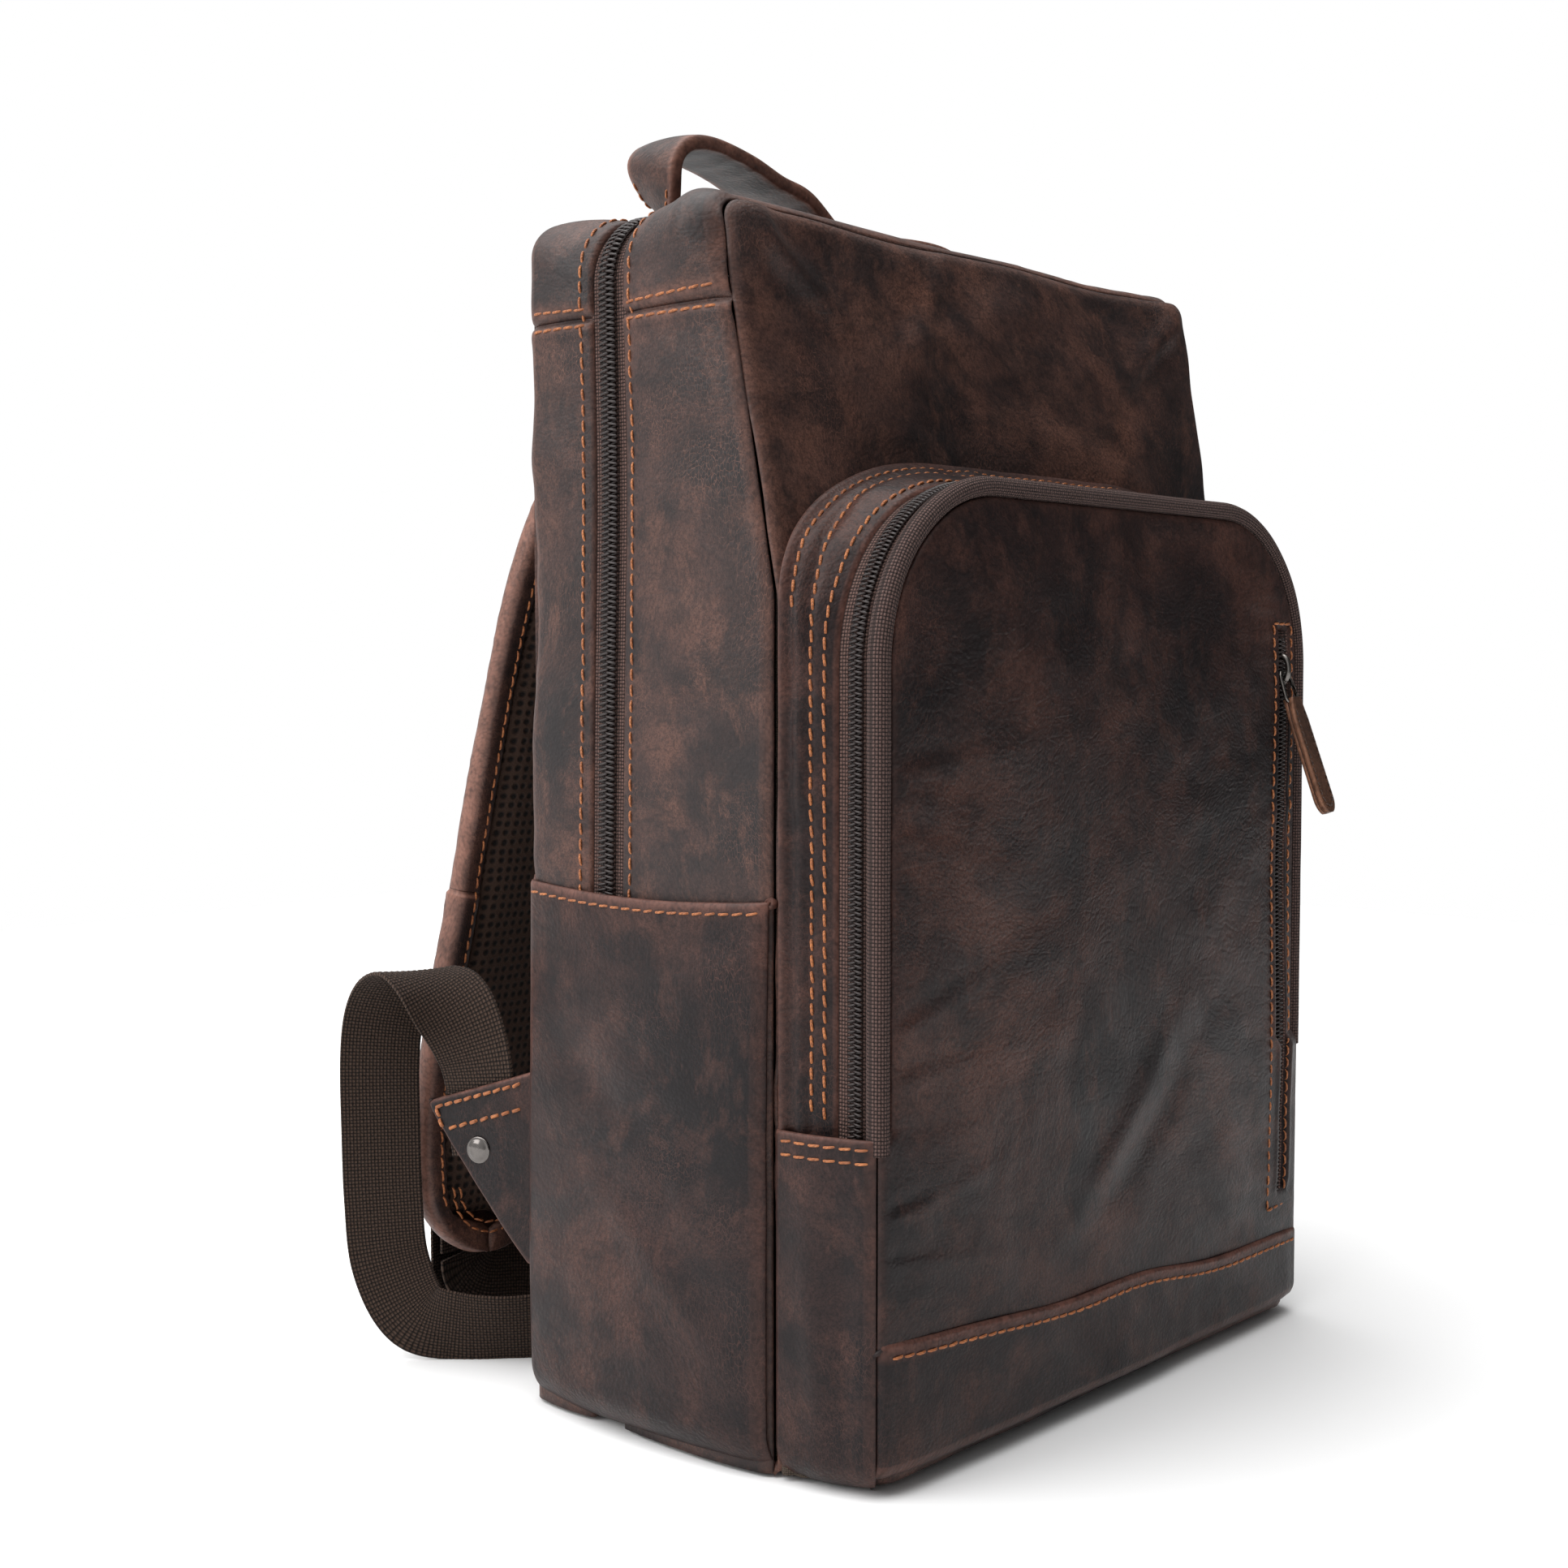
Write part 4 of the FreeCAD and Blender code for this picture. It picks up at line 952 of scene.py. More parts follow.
def pocket_side():
    share, off, depth = across(edge_profile("fold", 1.7, 1.2), FOLD, 16)
    rows = pocket_rows(HEM - 8)
    p = gusset_point(rows[:, None], share[None], off[None], depth[None])
    reach = np.abs(p[..., 1] - p[:, :1, 1])
    wear = np.clip(0.75 * edge_wear(depth, 0.7) + 0.30 * bell(reach, 1.6, 1.6), 0, 1)
    wall = sheet("pocket_wall", p, SHADED_DARK_LEATHER, "bag", 1.5, seed=71, wear=wear)
    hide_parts("pocket_gusset")
    low_rows = pocket_rows(2)[:, None]
    height = pocket_arch(low_rows, 0.0)[1]
    behind = 0.30 * smooth((306 - height) / 10)           # below the arch it runs on into the body's seam
    inner = 0.03 - behind + (0.93 + behind) * np.linspace(0, 1, 16)[None]
    cloth("pocket_wall_lining", gusset_point(low_rows, inner, 0, 2.2 + 2.0 * smooth(-inner / 0.1)), "bag",
          np.array([0, -60.0, 150]), 0.5, "pocket_lining")
    s = spaced(HEM + 2, P_ARCH - HEM - 2, 2.0)
    high = spaced(PZ + 2, P_ARCH - PZ - 2, 2.0)
    rows_of_thread = [gusset_path(high, 0.0, 4.6), gusset_path(s, 0.0, 10.6), gusset_path(s, 1.0, -3.6)]
    stitches("stitch_pocket_wall", rows_of_thread, "bag", THREAD_MAT, pitch=5.2, thread=0.48)

    s = pocket_rows(112)[:, None]
    for tag, y0, y1, where, node in (("rear", GUSSET_FRONT + 1.5, POCKET_ZIP + 0.1, "bag", "pocket_zip_rear"),
                                     ("front", POCKET_ZIP - 0.1, -77.0, "flap_bend", "flap_zip")):
        y = y0 + (y1 - y0) * np.linspace(0, 1, 7)[None]
        fab = np.stack(np.broadcast_arrays(s * MM, y * MM, 0 * y), -1)
        tape = sheet(f"pocket_tape_{tag}", zip_line(s, y, -0.9)[0], TAPE_MAT, where, TAPE_THICK, seed=6, fab=fab)
        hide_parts(node)
    s = spaced(112, P_ARCH - 112, 1.0)
    line, n = zip_line(s, POCKET_ZIP, -0.9)
    for tag, hand, where in (("rear", 1, "bag"), ("front", -1, "flap_bend")):
        obj = coil(f"pocket_coil_{tag}", line, n, hand, where, COIL_MAT, half=3.1, pitch=1.7, wire=0.44, height=1.2)


def piping():
    """Woven binding that covers the edge between the zip and the pocket's front."""
    s = pocket_rows(112)
    centre, n = zip_line(s, -76.3, -1.2)
    side = np.cross(unit(np.gradient(centre, axis=0)), n)
    sides = 20
    angle = circle(sides)
    r = 3.5 + 0.12 * noise(centre, 14, 91)
    ring = tube_rings(centre, n, side, r, r * 1.12, sides)
    faces = grid_faces(len(s), sides, 0, False, wrap=True).tolist()
    faces += [list(range(sides)), list(range(len(s) * sides - 1, (len(s) - 1) * sides - 1, -1))]
    fab = np.stack(np.broadcast_arrays(s[:, None] * MM, angle * 3.6 * MM, 0.0), -1)
    obj = make("pocket_piping", ring.reshape(-1, 3), faces, PIPING_MAT, "flap_bend", 9, fab.reshape(-1, 3))
    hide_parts("flap_piping")


def band_line(x):
    """Height of the wavy seam along the pocket's foot."""
    return 42.0 - 8.0 * x / 134 + 1.6 * np.sin(x / 19.0 + 1.1) * bell(x, 20, 90)


ZIP_X = 115.5                      # the upright zip's place on the pocket's front
POCKET_FACE = -79.0                # Y of the pocket's front before its fullness


def pocket_face(x, z, d):
    """The pocket's front: full in the middle, with short creases that run in from the zip."""
    p = np.stack([x, np.full_like(x, POCKET_FACE), z], -1)
    low = np.clip(z / 60, 0, 1)
    fullness = 5.2 * (1 - np.exp(-d / 24)) * (0.55 + 0.45 * low)
    near = np.exp(-np.maximum(d - 6, 0) / 26) * smooth((d - 1) / 8)
    creases = 0
    for height, tilt, size, side in ((232, 0.12, 1.0, -1), (214, -0.25, 0.7, -1), (148, 0.35, 1.1, -1),
                                     (133, 0.1, 0.8, -1), (86, 0.22, 1.2, -1), (66, -0.15, 0.8, -1),
                                     (160, 0.2, 0.7, 1), (96, -0.2, 0.8, 1)):
        local = z - height - tilt * (x + 134)
        creases = creases + 0.6 * size * (bell(local, 0, 2.8) - 0.8 * bell(local, 5.5, 3.0)) * (x * side > 0)
    away = np.abs(x - ZIP_X)
    inside = smooth((z - 50) / 2.5) * smooth((284 - z) / 2.5)
    slot = (0.7 * bell(away, 6.0, 1.6) - 2.4 * smooth((5.0 - away) / 1.1)) * inside
    slant = x - 0.9 * (z - 90)
    folds = 1.5 * bell(slant, -10, 9) * bell(z, 100, 34) - 1.3 * bell(slant, 12, 10) * bell(z, 96, 30)
    lift = fullness + creases * near + slot + folds + leather_relief(p, 61, 0.9) * smooth(d / 12)
    return np.full_like(x, POCKET_FACE), lift


FRONT_FACE = Plate(PX, PZ, 57.5, 0, 4.0, 2.0, pocket_face, -1, 61, turn_foot=False, fine_at=(107.0, 124.0))


def pocket_front():
    low = 28.0

    def fit(p, wear):
        """The foot follows the wavy seam, and spreads over the pocket's wraps."""
        p = p.copy()
        line = band_line(p[..., 0]) - 2.0
        p[..., 0] *= 1 + 0.043 * smooth((118.5 - p[..., 2]) / 4)
        p[..., 2] += (line - low) * (1 - smooth((p[..., 2] - low) / 82))
        return p, wear

    face = FRONT_FACE.piece("pocket_front", SHADED_DARK_LEATHER, "flap_bend", step=2.4, low=low, shift=fit, lining=("flap_lining",))
    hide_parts("pocket_front_lower", "flap_panel")

    end_x = np.array([134.6, 135.8, 136.7, 136.3, 135.4])
    end_y = np.array([0.4, 1.2, 2.6, 3.7, 4.7])
    x = np.concatenate([-end_x[::-1], spaced(-133.4, -128, 1), spaced(-128, 128, 3)[1:-1], spaced(128, 133.4, 1),
                        end_x])
    turned = np.concatenate([end_y[::-1], np.zeros(len(x) - 10), end_y])
    q, h = edge_profile("seam", 8.0, 3.0, 12)
    q = q + 5.0
    rows = np.concatenate([q, spaced(q[-1] + 1.5, 30, 2.4)])
    depth = np.concatenate([h, 0 * rows[len(h):]])
    rise = np.clip((rows - 12) / 18, 0, 1)[:, None]
    top = band_line(x)[None]
    z = rows[:, None] * (1 - rise) + rise * (rows[:, None] + (top - 30))
    gx = np.broadcast_to(x[None], z.shape)
    d = FRONT_FACE.edge(gx, z) + 4
    y, lift = pocket_face(gx, z, d)
    face_y = y - lift * smooth((137 - np.abs(gx)) / 12) - 1.5 + depth[:, None] + turned[None]
    rolled = [(0.9, 0.35), (1.4, 1.1), (1.2, 2.0)]
    extra = [np.stack([x, face_y[-1] + dy, z[-1] + dz], -1) for dz, dy in rolled]
    p = np.concatenate([np.stack([gx, face_y, z], -1), np.stack(extra)])
    wear = np.zeros(p.shape[:2])
    wear[-4:] = 0.8
    wear[6:13] += 0.35
    band = sheet("pocket_foot_band", p, SHADED_DARK_LEATHER, "bag", 1.5, np.array([0, FAR, 20]), 64, wear=wear)
    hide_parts("pocket_band")
    sewn_x = spaced(-133, 133, 2)
    level = band_line(sewn_x) - 3.2
    outer = [np.interp(h, z[:len(rows), k], face_y[:, k]) for k, h in zip(np.searchsorted(x, sewn_x), level)]
    row = np.stack([sewn_x, np.array(outer) - 0.1, level], -1)
    stitches("stitch_band", [(row, np.tile([0, -1.0, 0.05], (len(row), 1)))], "bag", THREAD_MAT, pitch=5.2)

    # the roll that shows under the pocket
    x = spaced(-134, 134, 3)[None]
    y = np.array([-56, -64, -70, -74.5, -77.6, -79.0, -79.3, -78.6, -76.5])[:, None]
    z = np.array([1.7, 1.4, 1.5, 2.3, 4.0, 6.2, 8.3, 10.2, 11.2])[:, None]
    out = smooth((134 - np.abs(x)) / 9)
    q = np.stack([x + 0 * y, y + 6 * (1 - out) + 0 * x, z + 0 * x], -1)
    q[..., 1] -= 0.6 * noise(q, 26, 66)
    roll = sheet("pocket_bottom_roll", q, LEATHER, "bag", 1.4, np.array([0, -60.0, 60]), 67)


def pocket_wraps():
    """Leather round the pocket's lower sides, with a double-stitched hem over the zip's ends."""
    share, off, depth = across(SMALL_SEAM, edge_profile("seam", 5.0, 2.4, 8), 14)
    angle = np.linspace(math.pi / 2 * 0.95, 0, 14)
    q, h = 0.3 + 13.0 * (1 - np.sin(angle)), 13.0 * (1 - np.cos(angle))
    z = np.concatenate([q, spaced(q[-1] + 2, HEM - 1.5, 2.4), [HEM - 0.6, HEM, HEM + 0.1, HEM - 0.3]])
    turn = np.concatenate([h, np.zeros(len(z) - len(h) - 4), [0.1, 0.5, 1.3, 2.2]])

    def point(z, h, f, o, d):
        y = FRONT * (1 - f) - 79.3 * f - o
        g = np.clip((FRONT - y) / (79.3 + FRONT), 0, 1)
        x = -np.interp(g, [0, 0.25, 1], [HALF, HALF - 1.5, 136.5]) + 0 * z
        p = np.stack(np.broadcast_arrays(x, y + 0 * z, z + 0 * y), -1)
        vertical = 1.7 * bell(g, 0.42 + 0.05 * np.sin(z / 17), 0.13) - 1.1 * bell(g, 0.70, 0.1)
        middle = np.sin(np.pi * g)
        out = 1.6 + 2.0 * middle ** 0.8 + vertical * bell(z, 52, 38) + leather_relief(p, 81, 0.7) * middle
        out = out + 0.9 * bell(z, 97, 5) * middle - d - h
        back_in = 0.85 * h * smooth((g - 0.4) / 0.6) * (np.asarray(z) < 30)
        return p + np.stack([-out, back_in + 0 * out, 0 * out], -1)

    p = point(z[:, None], turn[:, None], share[None], off[None], depth[None])
    wear = 0.28 * edge_wear(depth[None]) + 0.7 * bell(z[:, None], HEM, 1.5)
    wear = np.broadcast_to(np.clip(wear, 0, 1), p.shape[:2])
    f = np.linspace(0, 1, 24)
    lines = []
    for height in (HEM - 3.0, HEM - 7.4):
        line = point(0 * f + height, 0, f, 3.0 * (1 - f) - 3.0 * f, 0)
        lines.append((line, np.tile([-1.0, -0.15, 0], (len(f), 1))))
    for side, sign in SIDES:
        flip = np.array([sign, 1, 1])
        obj = sheet(f"pocket_wrap_{side}", p * flip, SHADED_DARK_LEATHER, "bag", 1.6, seed=81, wear=wear)
        stitches(f"stitch_wrap_{side}", [(a * flip, b * flip) for a, b in lines], "bag", THREAD_MAT)
        if sign > 0:
            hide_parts("pocket_wrap")


# ---- curves and padded shapes ----------------------------------------------------------------------
def curve(points, step):
    """Evenly spaced samples of a smooth line through points. Further columns are carried along."""
    p = np.asarray(points, float)
    q = np.vstack([2 * p[0] - p[1], p, 2 * p[-1] - p[-2]])
    t = np.linspace(0, 1, 24, endpoint=False)[:, None]
    parts = []
    for a, b, c, d in zip(q, q[1:], q[2:], q[3:]):
        parts.append(0.5 * (2 * b + (c - a) * t + (2 * a - 5 * b + 4 * c - d) * t ** 2
                            + (3 * b - a - 3 * c + d) * t ** 3))
    line = np.vstack(parts + [p[-1:]])
    length = lengths(line[:, :3])
    at = np.linspace(0, length[-1], max(int(length[-1] / step), 2) + 1)
    return np.stack([np.interp(at, length, line[:, k]) for k in range(line.shape[1])], -1), at


def line_frame(line, side):
    """Direction along a line, the direction across it, and its outer normal, at each point."""
    along_line = unit(np.gradient(line, axis=0))
    side = np.broadcast_to(np.asarray(side, float), line.shape)
    side = unit(side - along_line * np.sum(side * along_line, axis=1, keepdims=True))
    return along_line, side, np.cross(side, along_line)


def band(name, line, side, half, thick, material, where, seed=0, columns=12, edge=0.8, relief=None, wear=0.5):
    """A closed flat strap along a line: rounded edges, width 2 half, both faces finished."""
    _, s, n = line_frame(line, side)
    half = np.broadcast_to(half, len(line))
    lateral = np.linspace(-1, 1, columns)
    angle = np.linspace(0, math.pi, 7)[1:-1]
    u = np.concatenate([lateral, 1 + 0 * angle, lateral[::-1], -1 + 0 * angle])
    extra = np.concatenate([0 * lateral, np.sin(angle) * edge, 0 * lateral, -np.sin(angle) * edge])
    v = np.concatenate([1 + 0 * lateral, np.cos(angle), -1 + 0 * lateral, -np.cos(angle)])
    off = u[None] * (half[:, None] - edge) + extra[None]
    rise = v[None] * thick / 2 + 0 * off
    if relief is not None:
        rise = rise + relief(line, u, v)
    p = line[:, None] + s[:, None] * off[..., None] + n[:, None] * rise[..., None]
    faces = tube_faces(len(line), len(u))
    fab = np.stack([off * MM, np.broadcast_to(lengths(line)[:, None] * MM, off.shape), 0 * off], -1)
    worn = np.broadcast_to(wear * bell(np.abs(u), 1.0, 0.12)[None], off.shape)
    return make(name, p.reshape(-1, 3), faces, material, where, seed, fab.reshape(-1, 3), worn.reshape(-1))


def points_of(mesh):
    points = np.zeros(len(mesh.vertices) * 3)
    mesh.vertices.foreach_get("co", points)
    return points.reshape(-1, 3)


def inflate(verts, faces, voxel, pressure, cap):
    """Blows a closed shape up like a pad: even quads, then a cloth simulation. Points and faces, in mm."""
    mesh = bpy.data.meshes.new("pad_start")
    mesh.from_pydata((np.asarray(verts) * MM).tolist(), [], [list(map(int, f)) for f in faces])
    obj = bpy.data.objects.new("pad_start", mesh)
    bpy.context.scene.collection.objects.link(obj)
    remesh = obj.modifiers.new("remesh", "REMESH")
    remesh.mode, remesh.voxel_size = "VOXEL", voxel * MM
    view = bpy.context.evaluated_depsgraph_get()
    even = bpy.data.meshes.new_from_object(obj.evaluated_get(view))
    obj.modifiers.clear()
    obj.data = even
    start = end = points_of(even)
    polygons = [list(f.vertices) for f in even.polygons]
    cloth = obj.modifiers.new("cloth", "CLOTH")
    cloth.settings.use_pressure = True
    cloth.settings.uniform_pressure_force = pressure
    cloth.settings.effector_weights.gravity = 0
    cloth.settings.quality = 6
    cloth.point_cache.frame_start, cloth.point_cache.frame_end = 1, 20
    for frame_number in range(1, 21):
        bpy.context.scene.frame_set(frame_number)
    view = bpy.context.evaluated_depsgraph_get()
    end = points_of(obj.evaluated_get(view).to_mesh())
    bpy.context.scene.frame_set(1)
    move = end - start
    far = np.linalg.norm(move, axis=1, keepdims=True)
    move = move * np.minimum(1, cap * MM / np.maximum(far, 1e-9))
    bpy.data.objects.remove(obj)
    bpy.data.meshes.remove(mesh)
    return (start + move) / MM, polygons


def soft_pad(name, loops, where, fab_of, cap, seed):
    """A pad of spacer mesh, blown up from a solid through loops. It grows by cap millimetres at most."""
    rings, count = loops.shape[:2]
    points, polygons = inflate(loops.reshape(-1, 3), tube_faces(rings, count, reverse=False), 4.0, 4.0, cap)
    obj = make(name, points, polygons, MESH_MAT, where, seed, fab_of(points))
    level = obj.modifiers.new("subdivision", "SUBSURF")
    level.levels = level.render_levels = 1
    return obj


# ---- upright zip on the pocket's front -------------------------------------------------------------
ZIP_LOW, ZIP_SPLIT, ZIP_HIGH = 52.0, 141.6, 281.0


def upright_zip():
    def on_face(x, z, out):
        y, lift = pocket_face(x, z, FRONT_FACE.edge(x, z))
        return np.stack([x, y - lift - out, z], -1)

    for tag, low, high, node in (("lower", ZIP_LOW, ZIP_SPLIT, "front_zip_lower"),
                                 ("upper", ZIP_SPLIT, ZIP_HIGH, "front_zip_upper")):
        x, z = np.meshgrid(ZIP_X + np.linspace(-4.6, 4.6, 9), spaced(low, high, 2.5))
        fab = np.stack([z * MM, x * MM, 0 * x], -1)
        tape = sheet(f"front_tape_{tag}", on_face(x, z, 0.5), TAPE_MAT, "flap_bend", TAPE_THICK,
                     np.array([0, FAR, 100]), 14, fab=fab)
        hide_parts(node)
    z = spaced(ZIP_LOW + 1, ZIP_HIGH - 1, 1.0)
    line = on_face(ZIP_X + 0 * z, z, 0.6)
    n = np.tile([0, -1.0, 0], (len(z), 1))
    for side, hand in SIDES:
        obj = coil(f"front_coil_{side}", line, n, hand, "flap_bend", COIL_MAT, half=2.9, pitch=1.7, wire=0.42,
                   height=1.2)
    paths = []
    aside, foot, head = 8.4, ZIP_LOW - 4, ZIP_HIGH + 3
    for x in (ZIP_X - aside, ZIP_X + aside):
        z = spaced(foot, head, 2.5)
        paths.append(FRONT_FACE.path(x + 0 * z, z, 0.1))
    for z in (foot, head):
        x = spaced(ZIP_X - aside, ZIP_X + aside, 2.0)
        paths.append(FRONT_FACE.path(x, z + 0 * x, 0.1))
    stitches("stitch_front_zip", paths, "flap_bend", THREAD_MAT, pitch=5.0)


# ---- inside --------------------------------------------------------------------------------------
def pouch(name, x0, x1, z0, z1, y, depth, where, seed, *stands_for):
    """A soft rectangle of lining cloth with rounded upper corners and a dark binding along its top."""
    share = np.linspace(0, 1, max(int((x1 - x0) / 4), 8))[None]
    z = spaced(z0, z1, 4.0)[:, None]
    corner = np.clip((z - z1 + 9) / 9, 0, 1)
    inset = 9 * (1 - np.sqrt(np.maximum(1 - corner ** 2, 0)))
    x = x0 + inset + (x1 - x0 - 2 * inset) * share
    belly = np.sin(np.pi * share) * np.sin(np.pi * np.clip((z - z0) / (z1 - z0), 0, 1) ** 0.8)
    p = np.stack(np.broadcast_arrays(x, y + 0 * x, z), -1)
    p[..., 1] -= depth * belly + 0.5 * noise(p, 30, seed)
    cloth(name, p, where, np.array([0, FAR, 100]), max(depth * 0.4, 1.0), *stands_for)
    line, _ = curve(p[-1, 2:-2], 2.5)
    trim = band(name + "_binding", line - np.array([0, 0.6, 1.5]), (0, 0, 1), 4.0, 2.6, PIPING_MAT, where, seed=seed,
                columns=6, edge=0.7, wear=0)


def insides():
    pouch("laptop_pocket", -122, 122, 8, 270, 58.0, 5.0, "bag", 101, "laptop_sleeve")
    pouch("organizer_sheet", -110, 110, 14, 203, -46.6, 0.8, "bag", 102, "organizer_panel")
    pouch("organizer_card_pocket", -14, 98, 90, 180, -48.6, 1.5, "bag", 103)
    for k, x in enumerate((-96, -72, -48)):
        pouch(f"organizer_pen_loop_{k}", x, x + 16, 110, 195, -48.4, 3.2, "bag", 104 + k)


# ---- sliders and their pulls -----------------------------------------------------------------------
PIVOT = np.array([0.0, -7.0, -2.0])


def placed(points, turn, origin, tilt=0.0):
    """From a slider's own frame, where it travels along Z and looks towards -Y, to its zip."""
    p = np.asarray(points, float) - PIVOT
    c, s = math.cos(math.radians(tilt)), math.sin(math.radians(tilt))
    p = p @ np.array([[1, 0, 0], [0, c, -s], [0, s, c]]).T + PIVOT
    c, s = math.cos(math.radians(turn)), math.sin(math.radians(turn))
    return p @ np.array([[c, -s, 0], [s, c, 0], [0, 0, 1]]).T + np.asarray(origin, float)


def wire(name, path, radius, where, closed=False, sides=10, material=None):
    """A round bar along a path, in millimetres. radius may change along it."""
    path = np.asarray(path, float)
    if closed:
        d = unit(np.roll(path, -1, 0) - np.roll(path, 1, 0))
    else:
        d = unit(np.gradient(path, axis=0))
    spread = path - path.mean(0)
    plane = np.linalg.svd(spread - spread.mean(0))[2][2]
    n = unit(np.cross(d, plane))
    r = np.broadcast_to(radius, len(path))
    ring = tube_rings(path, n, np.cross(d, n), r, r, sides)
    rows = len(path)
    faces = tube_faces(rows, sides)
    if closed:
        k = np.arange(sides)
        last = (rows - 1) * sides
        joined = np.stack([last + k, k, (k + 1) % sides, last + (k + 1) % sides], -1)[:, ::-1]
        faces = faces[:-2] + joined.tolist()
    return make(name, ring.reshape(-1, 3), faces, material or METAL, where)


def rounded_loop(width, height, radius, steps=6):
    """A rounded rectangle, in x and z, about its middle."""
    points = []
    for cx, cz, start in ((1, 1, 0), (-1, 1, 90), (-1, -1, 180), (1, -1, 270)):
        for k in range(steps + 1):
            a = math.radians(start + 90 * k / steps)
            points.append((cx * (width / 2 - radius) + radius * math.cos(a),
                           cz * (height / 2 - radius) + radius * math.sin(a)))
    return np.array(points)


def lofted(name, loops, material, where, seed=0, wear=None):
    """A solid through loops with the same number of points, closed at both ends."""
    loops = np.asarray(loops, float)
    faces = tube_faces(*loops.shape[:2], reverse=False)
    return make(name, loops.reshape(-1, 3), faces, material, where, seed, None, wear)


def slider(body, pull_body, turn, origin, tilt, coil_half, coil_top, length):
    """A cast slider with side lips and a bridge, its wire ring, and a two-ply leather pull."""
    half, cap = coil_half + 1.6, -(coil_top + 0.4)
    tag = body.replace("_slider", "_zip") if "main" not in body else body.replace("slider", "zip")
    outline = rounded_loop(2, 16, 0.9)
    taper = 1 - 0.30 * smooth((-outline[:, 1] - 0.5) / 8.0)
    shape = upright(outline[:, 0] * half * taper, outline[:, 1])
    levels = ((cap + 0.9, 0.97), (cap + 0.1, 1.0), (cap - 0.5, 1.0), (cap - 1.05, 0.95), (cap - 1.4, 0.84))
    plate = [placed(shape * np.array([k, 1, 0.35 + 0.65 * k]) + np.array([0, y, 0]), turn, origin) for y, k in levels]
    top = lofted(f"{tag}_plate", plate, METAL, body)
    for k, x in enumerate((-half + 0.5, half - 0.5)):
        z = np.linspace(-7.2, 7.2, 16)
        xs = x * (1 - 0.30 * smooth((-z - 0.5) / 8.0))
        path = np.stack([xs, np.full_like(z, cap + 1.0), z], -1)
        wire(f"{tag}_lip_{k}", placed(path, turn, origin), 0.62, body)
    a = np.linspace(0, math.pi, 15)
    bridge = np.stack([0 * a, cap - 1.0 - (7.0 + cap + 0.9) * np.sin(a) ** 0.6, 5.2 * np.cos(a)], -1)
    arm = wire(f"{tag}_bridge", placed(bridge, turn, origin), 1.05 + 0.25 * np.abs(np.cos(a)), body)
    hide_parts(body)

    loop = rounded_loop(9.0, 13.0, 2.4)
    ring = np.stack([loop[:, 0] * (1 - 0.18 * smooth((loop[:, 1] + 2) / 8)), np.full(len(loop), PIVOT[1]),
                     loop[:, 1] + PIVOT[2] - 5.6], -1)
    link = wire(f"{tag}_ring", placed(ring, turn, origin, tilt), 0.75, pull_body, closed=True)
    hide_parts(pull_body)

    top_z = PIVOT[2] - 10.4
    z = np.concatenate([np.linspace(0, 3, 5)[:-1], np.linspace(3, length - 6, 20)[:-1],
                        length - 6 + 6 * np.sin(np.linspace(0, math.pi / 2, 9))])
    half_w = np.where(z > length - 6, 5.6 * np.sqrt(np.maximum(1 - ((z - length + 6) / 6.3) ** 2, 0.02)),
                      np.interp(z, [0, 3, 9, length - 6], [3.6, 4.3, 5.4, 5.6]))
    for k, (inner, outer) in enumerate(((0.12, 1.85), (-0.12, -1.85))):
        bulge = 0.55 * np.exp(-z / 3.0)
        u = np.array([-1, -0.97, -0.85, -0.4, 0, 0.4, 0.85, 0.97, 1, 1, 0.4, 0, -0.4, -1])
        v = np.array([0.55, 0.86, 0.98, 1, 1, 1, 0.98, 0.86, 0.55, 0, 0, 0, 0, 0])
        worn = np.array([1, .9, .3, 0, 0, 0, .3, .9, 1, 1, 0, 0, 0, 1])
        loops = []
        for width, drop, b in zip(half_w, z, bulge):
            y = PIVOT[1] + np.sign(outer) * b * (v > 0) + inner + (outer - inner) * v
            loops.append(np.stack([u * width, y, np.full(len(u), top_z - drop)], -1))
        loops = placed(np.array(loops), turn, origin, tilt)
        if k:
            loops, worn = loops[:, ::-1], worn[::-1]
        wear = np.broadcast_to(worn, loops.shape[:2]).reshape(-1)
        ply = lofted(f"{tag}_pull_{'front' if k else 'back'}", loops, PULL, pull_body, seed=30 + k, wear=wear)
        edge_z = np.concatenate([spaced(5, length - 8, 3), length - 8 + 5.2 * np.sin(np.linspace(0.2, math.pi / 2, 5))])
        tip = 3.9 * np.sqrt(np.maximum(1 - ((edge_z - length + 8) / 5.4) ** 2, 0))
        edge_w = np.maximum(np.where(edge_z > length - 8, tip, np.interp(edge_z, z, half_w) - 1.7), 0)
        lap = np.concatenate([upright(-edge_w, top_z - edge_z), upright(edge_w, top_z - edge_z)[::-1]])
        lap[:, 1] = PIVOT[1] + outer
        facing = np.tile([0, np.sign(outer), 0], (len(lap), 1)) + PIVOT
        n = placed(facing, turn, (0, 0, 0), tilt) - placed(PIVOT[None], turn, (0, 0, 0), tilt)
        stitches(f"stitch_{tag}_pull_{k}", [(placed(lap, turn, origin, tilt), n)], pull_body, DARK_THREAD, pitch=3.0,
                 thread=0.32)
    corner_x, corner_y = np.array([-1, 1, 1, -1]), PIVOT[1] + np.array([-.25, -.25, .25, .25])
    loops = np.stack([np.stack([corner_x * w * 1.01, corner_y, np.full(4, top_z - d)], -1) for w, d in zip(half_w, z)])
    seam = lofted(f"{tag}_pull_core", placed(loops, turn, origin, tilt), EDGE, pull_body)


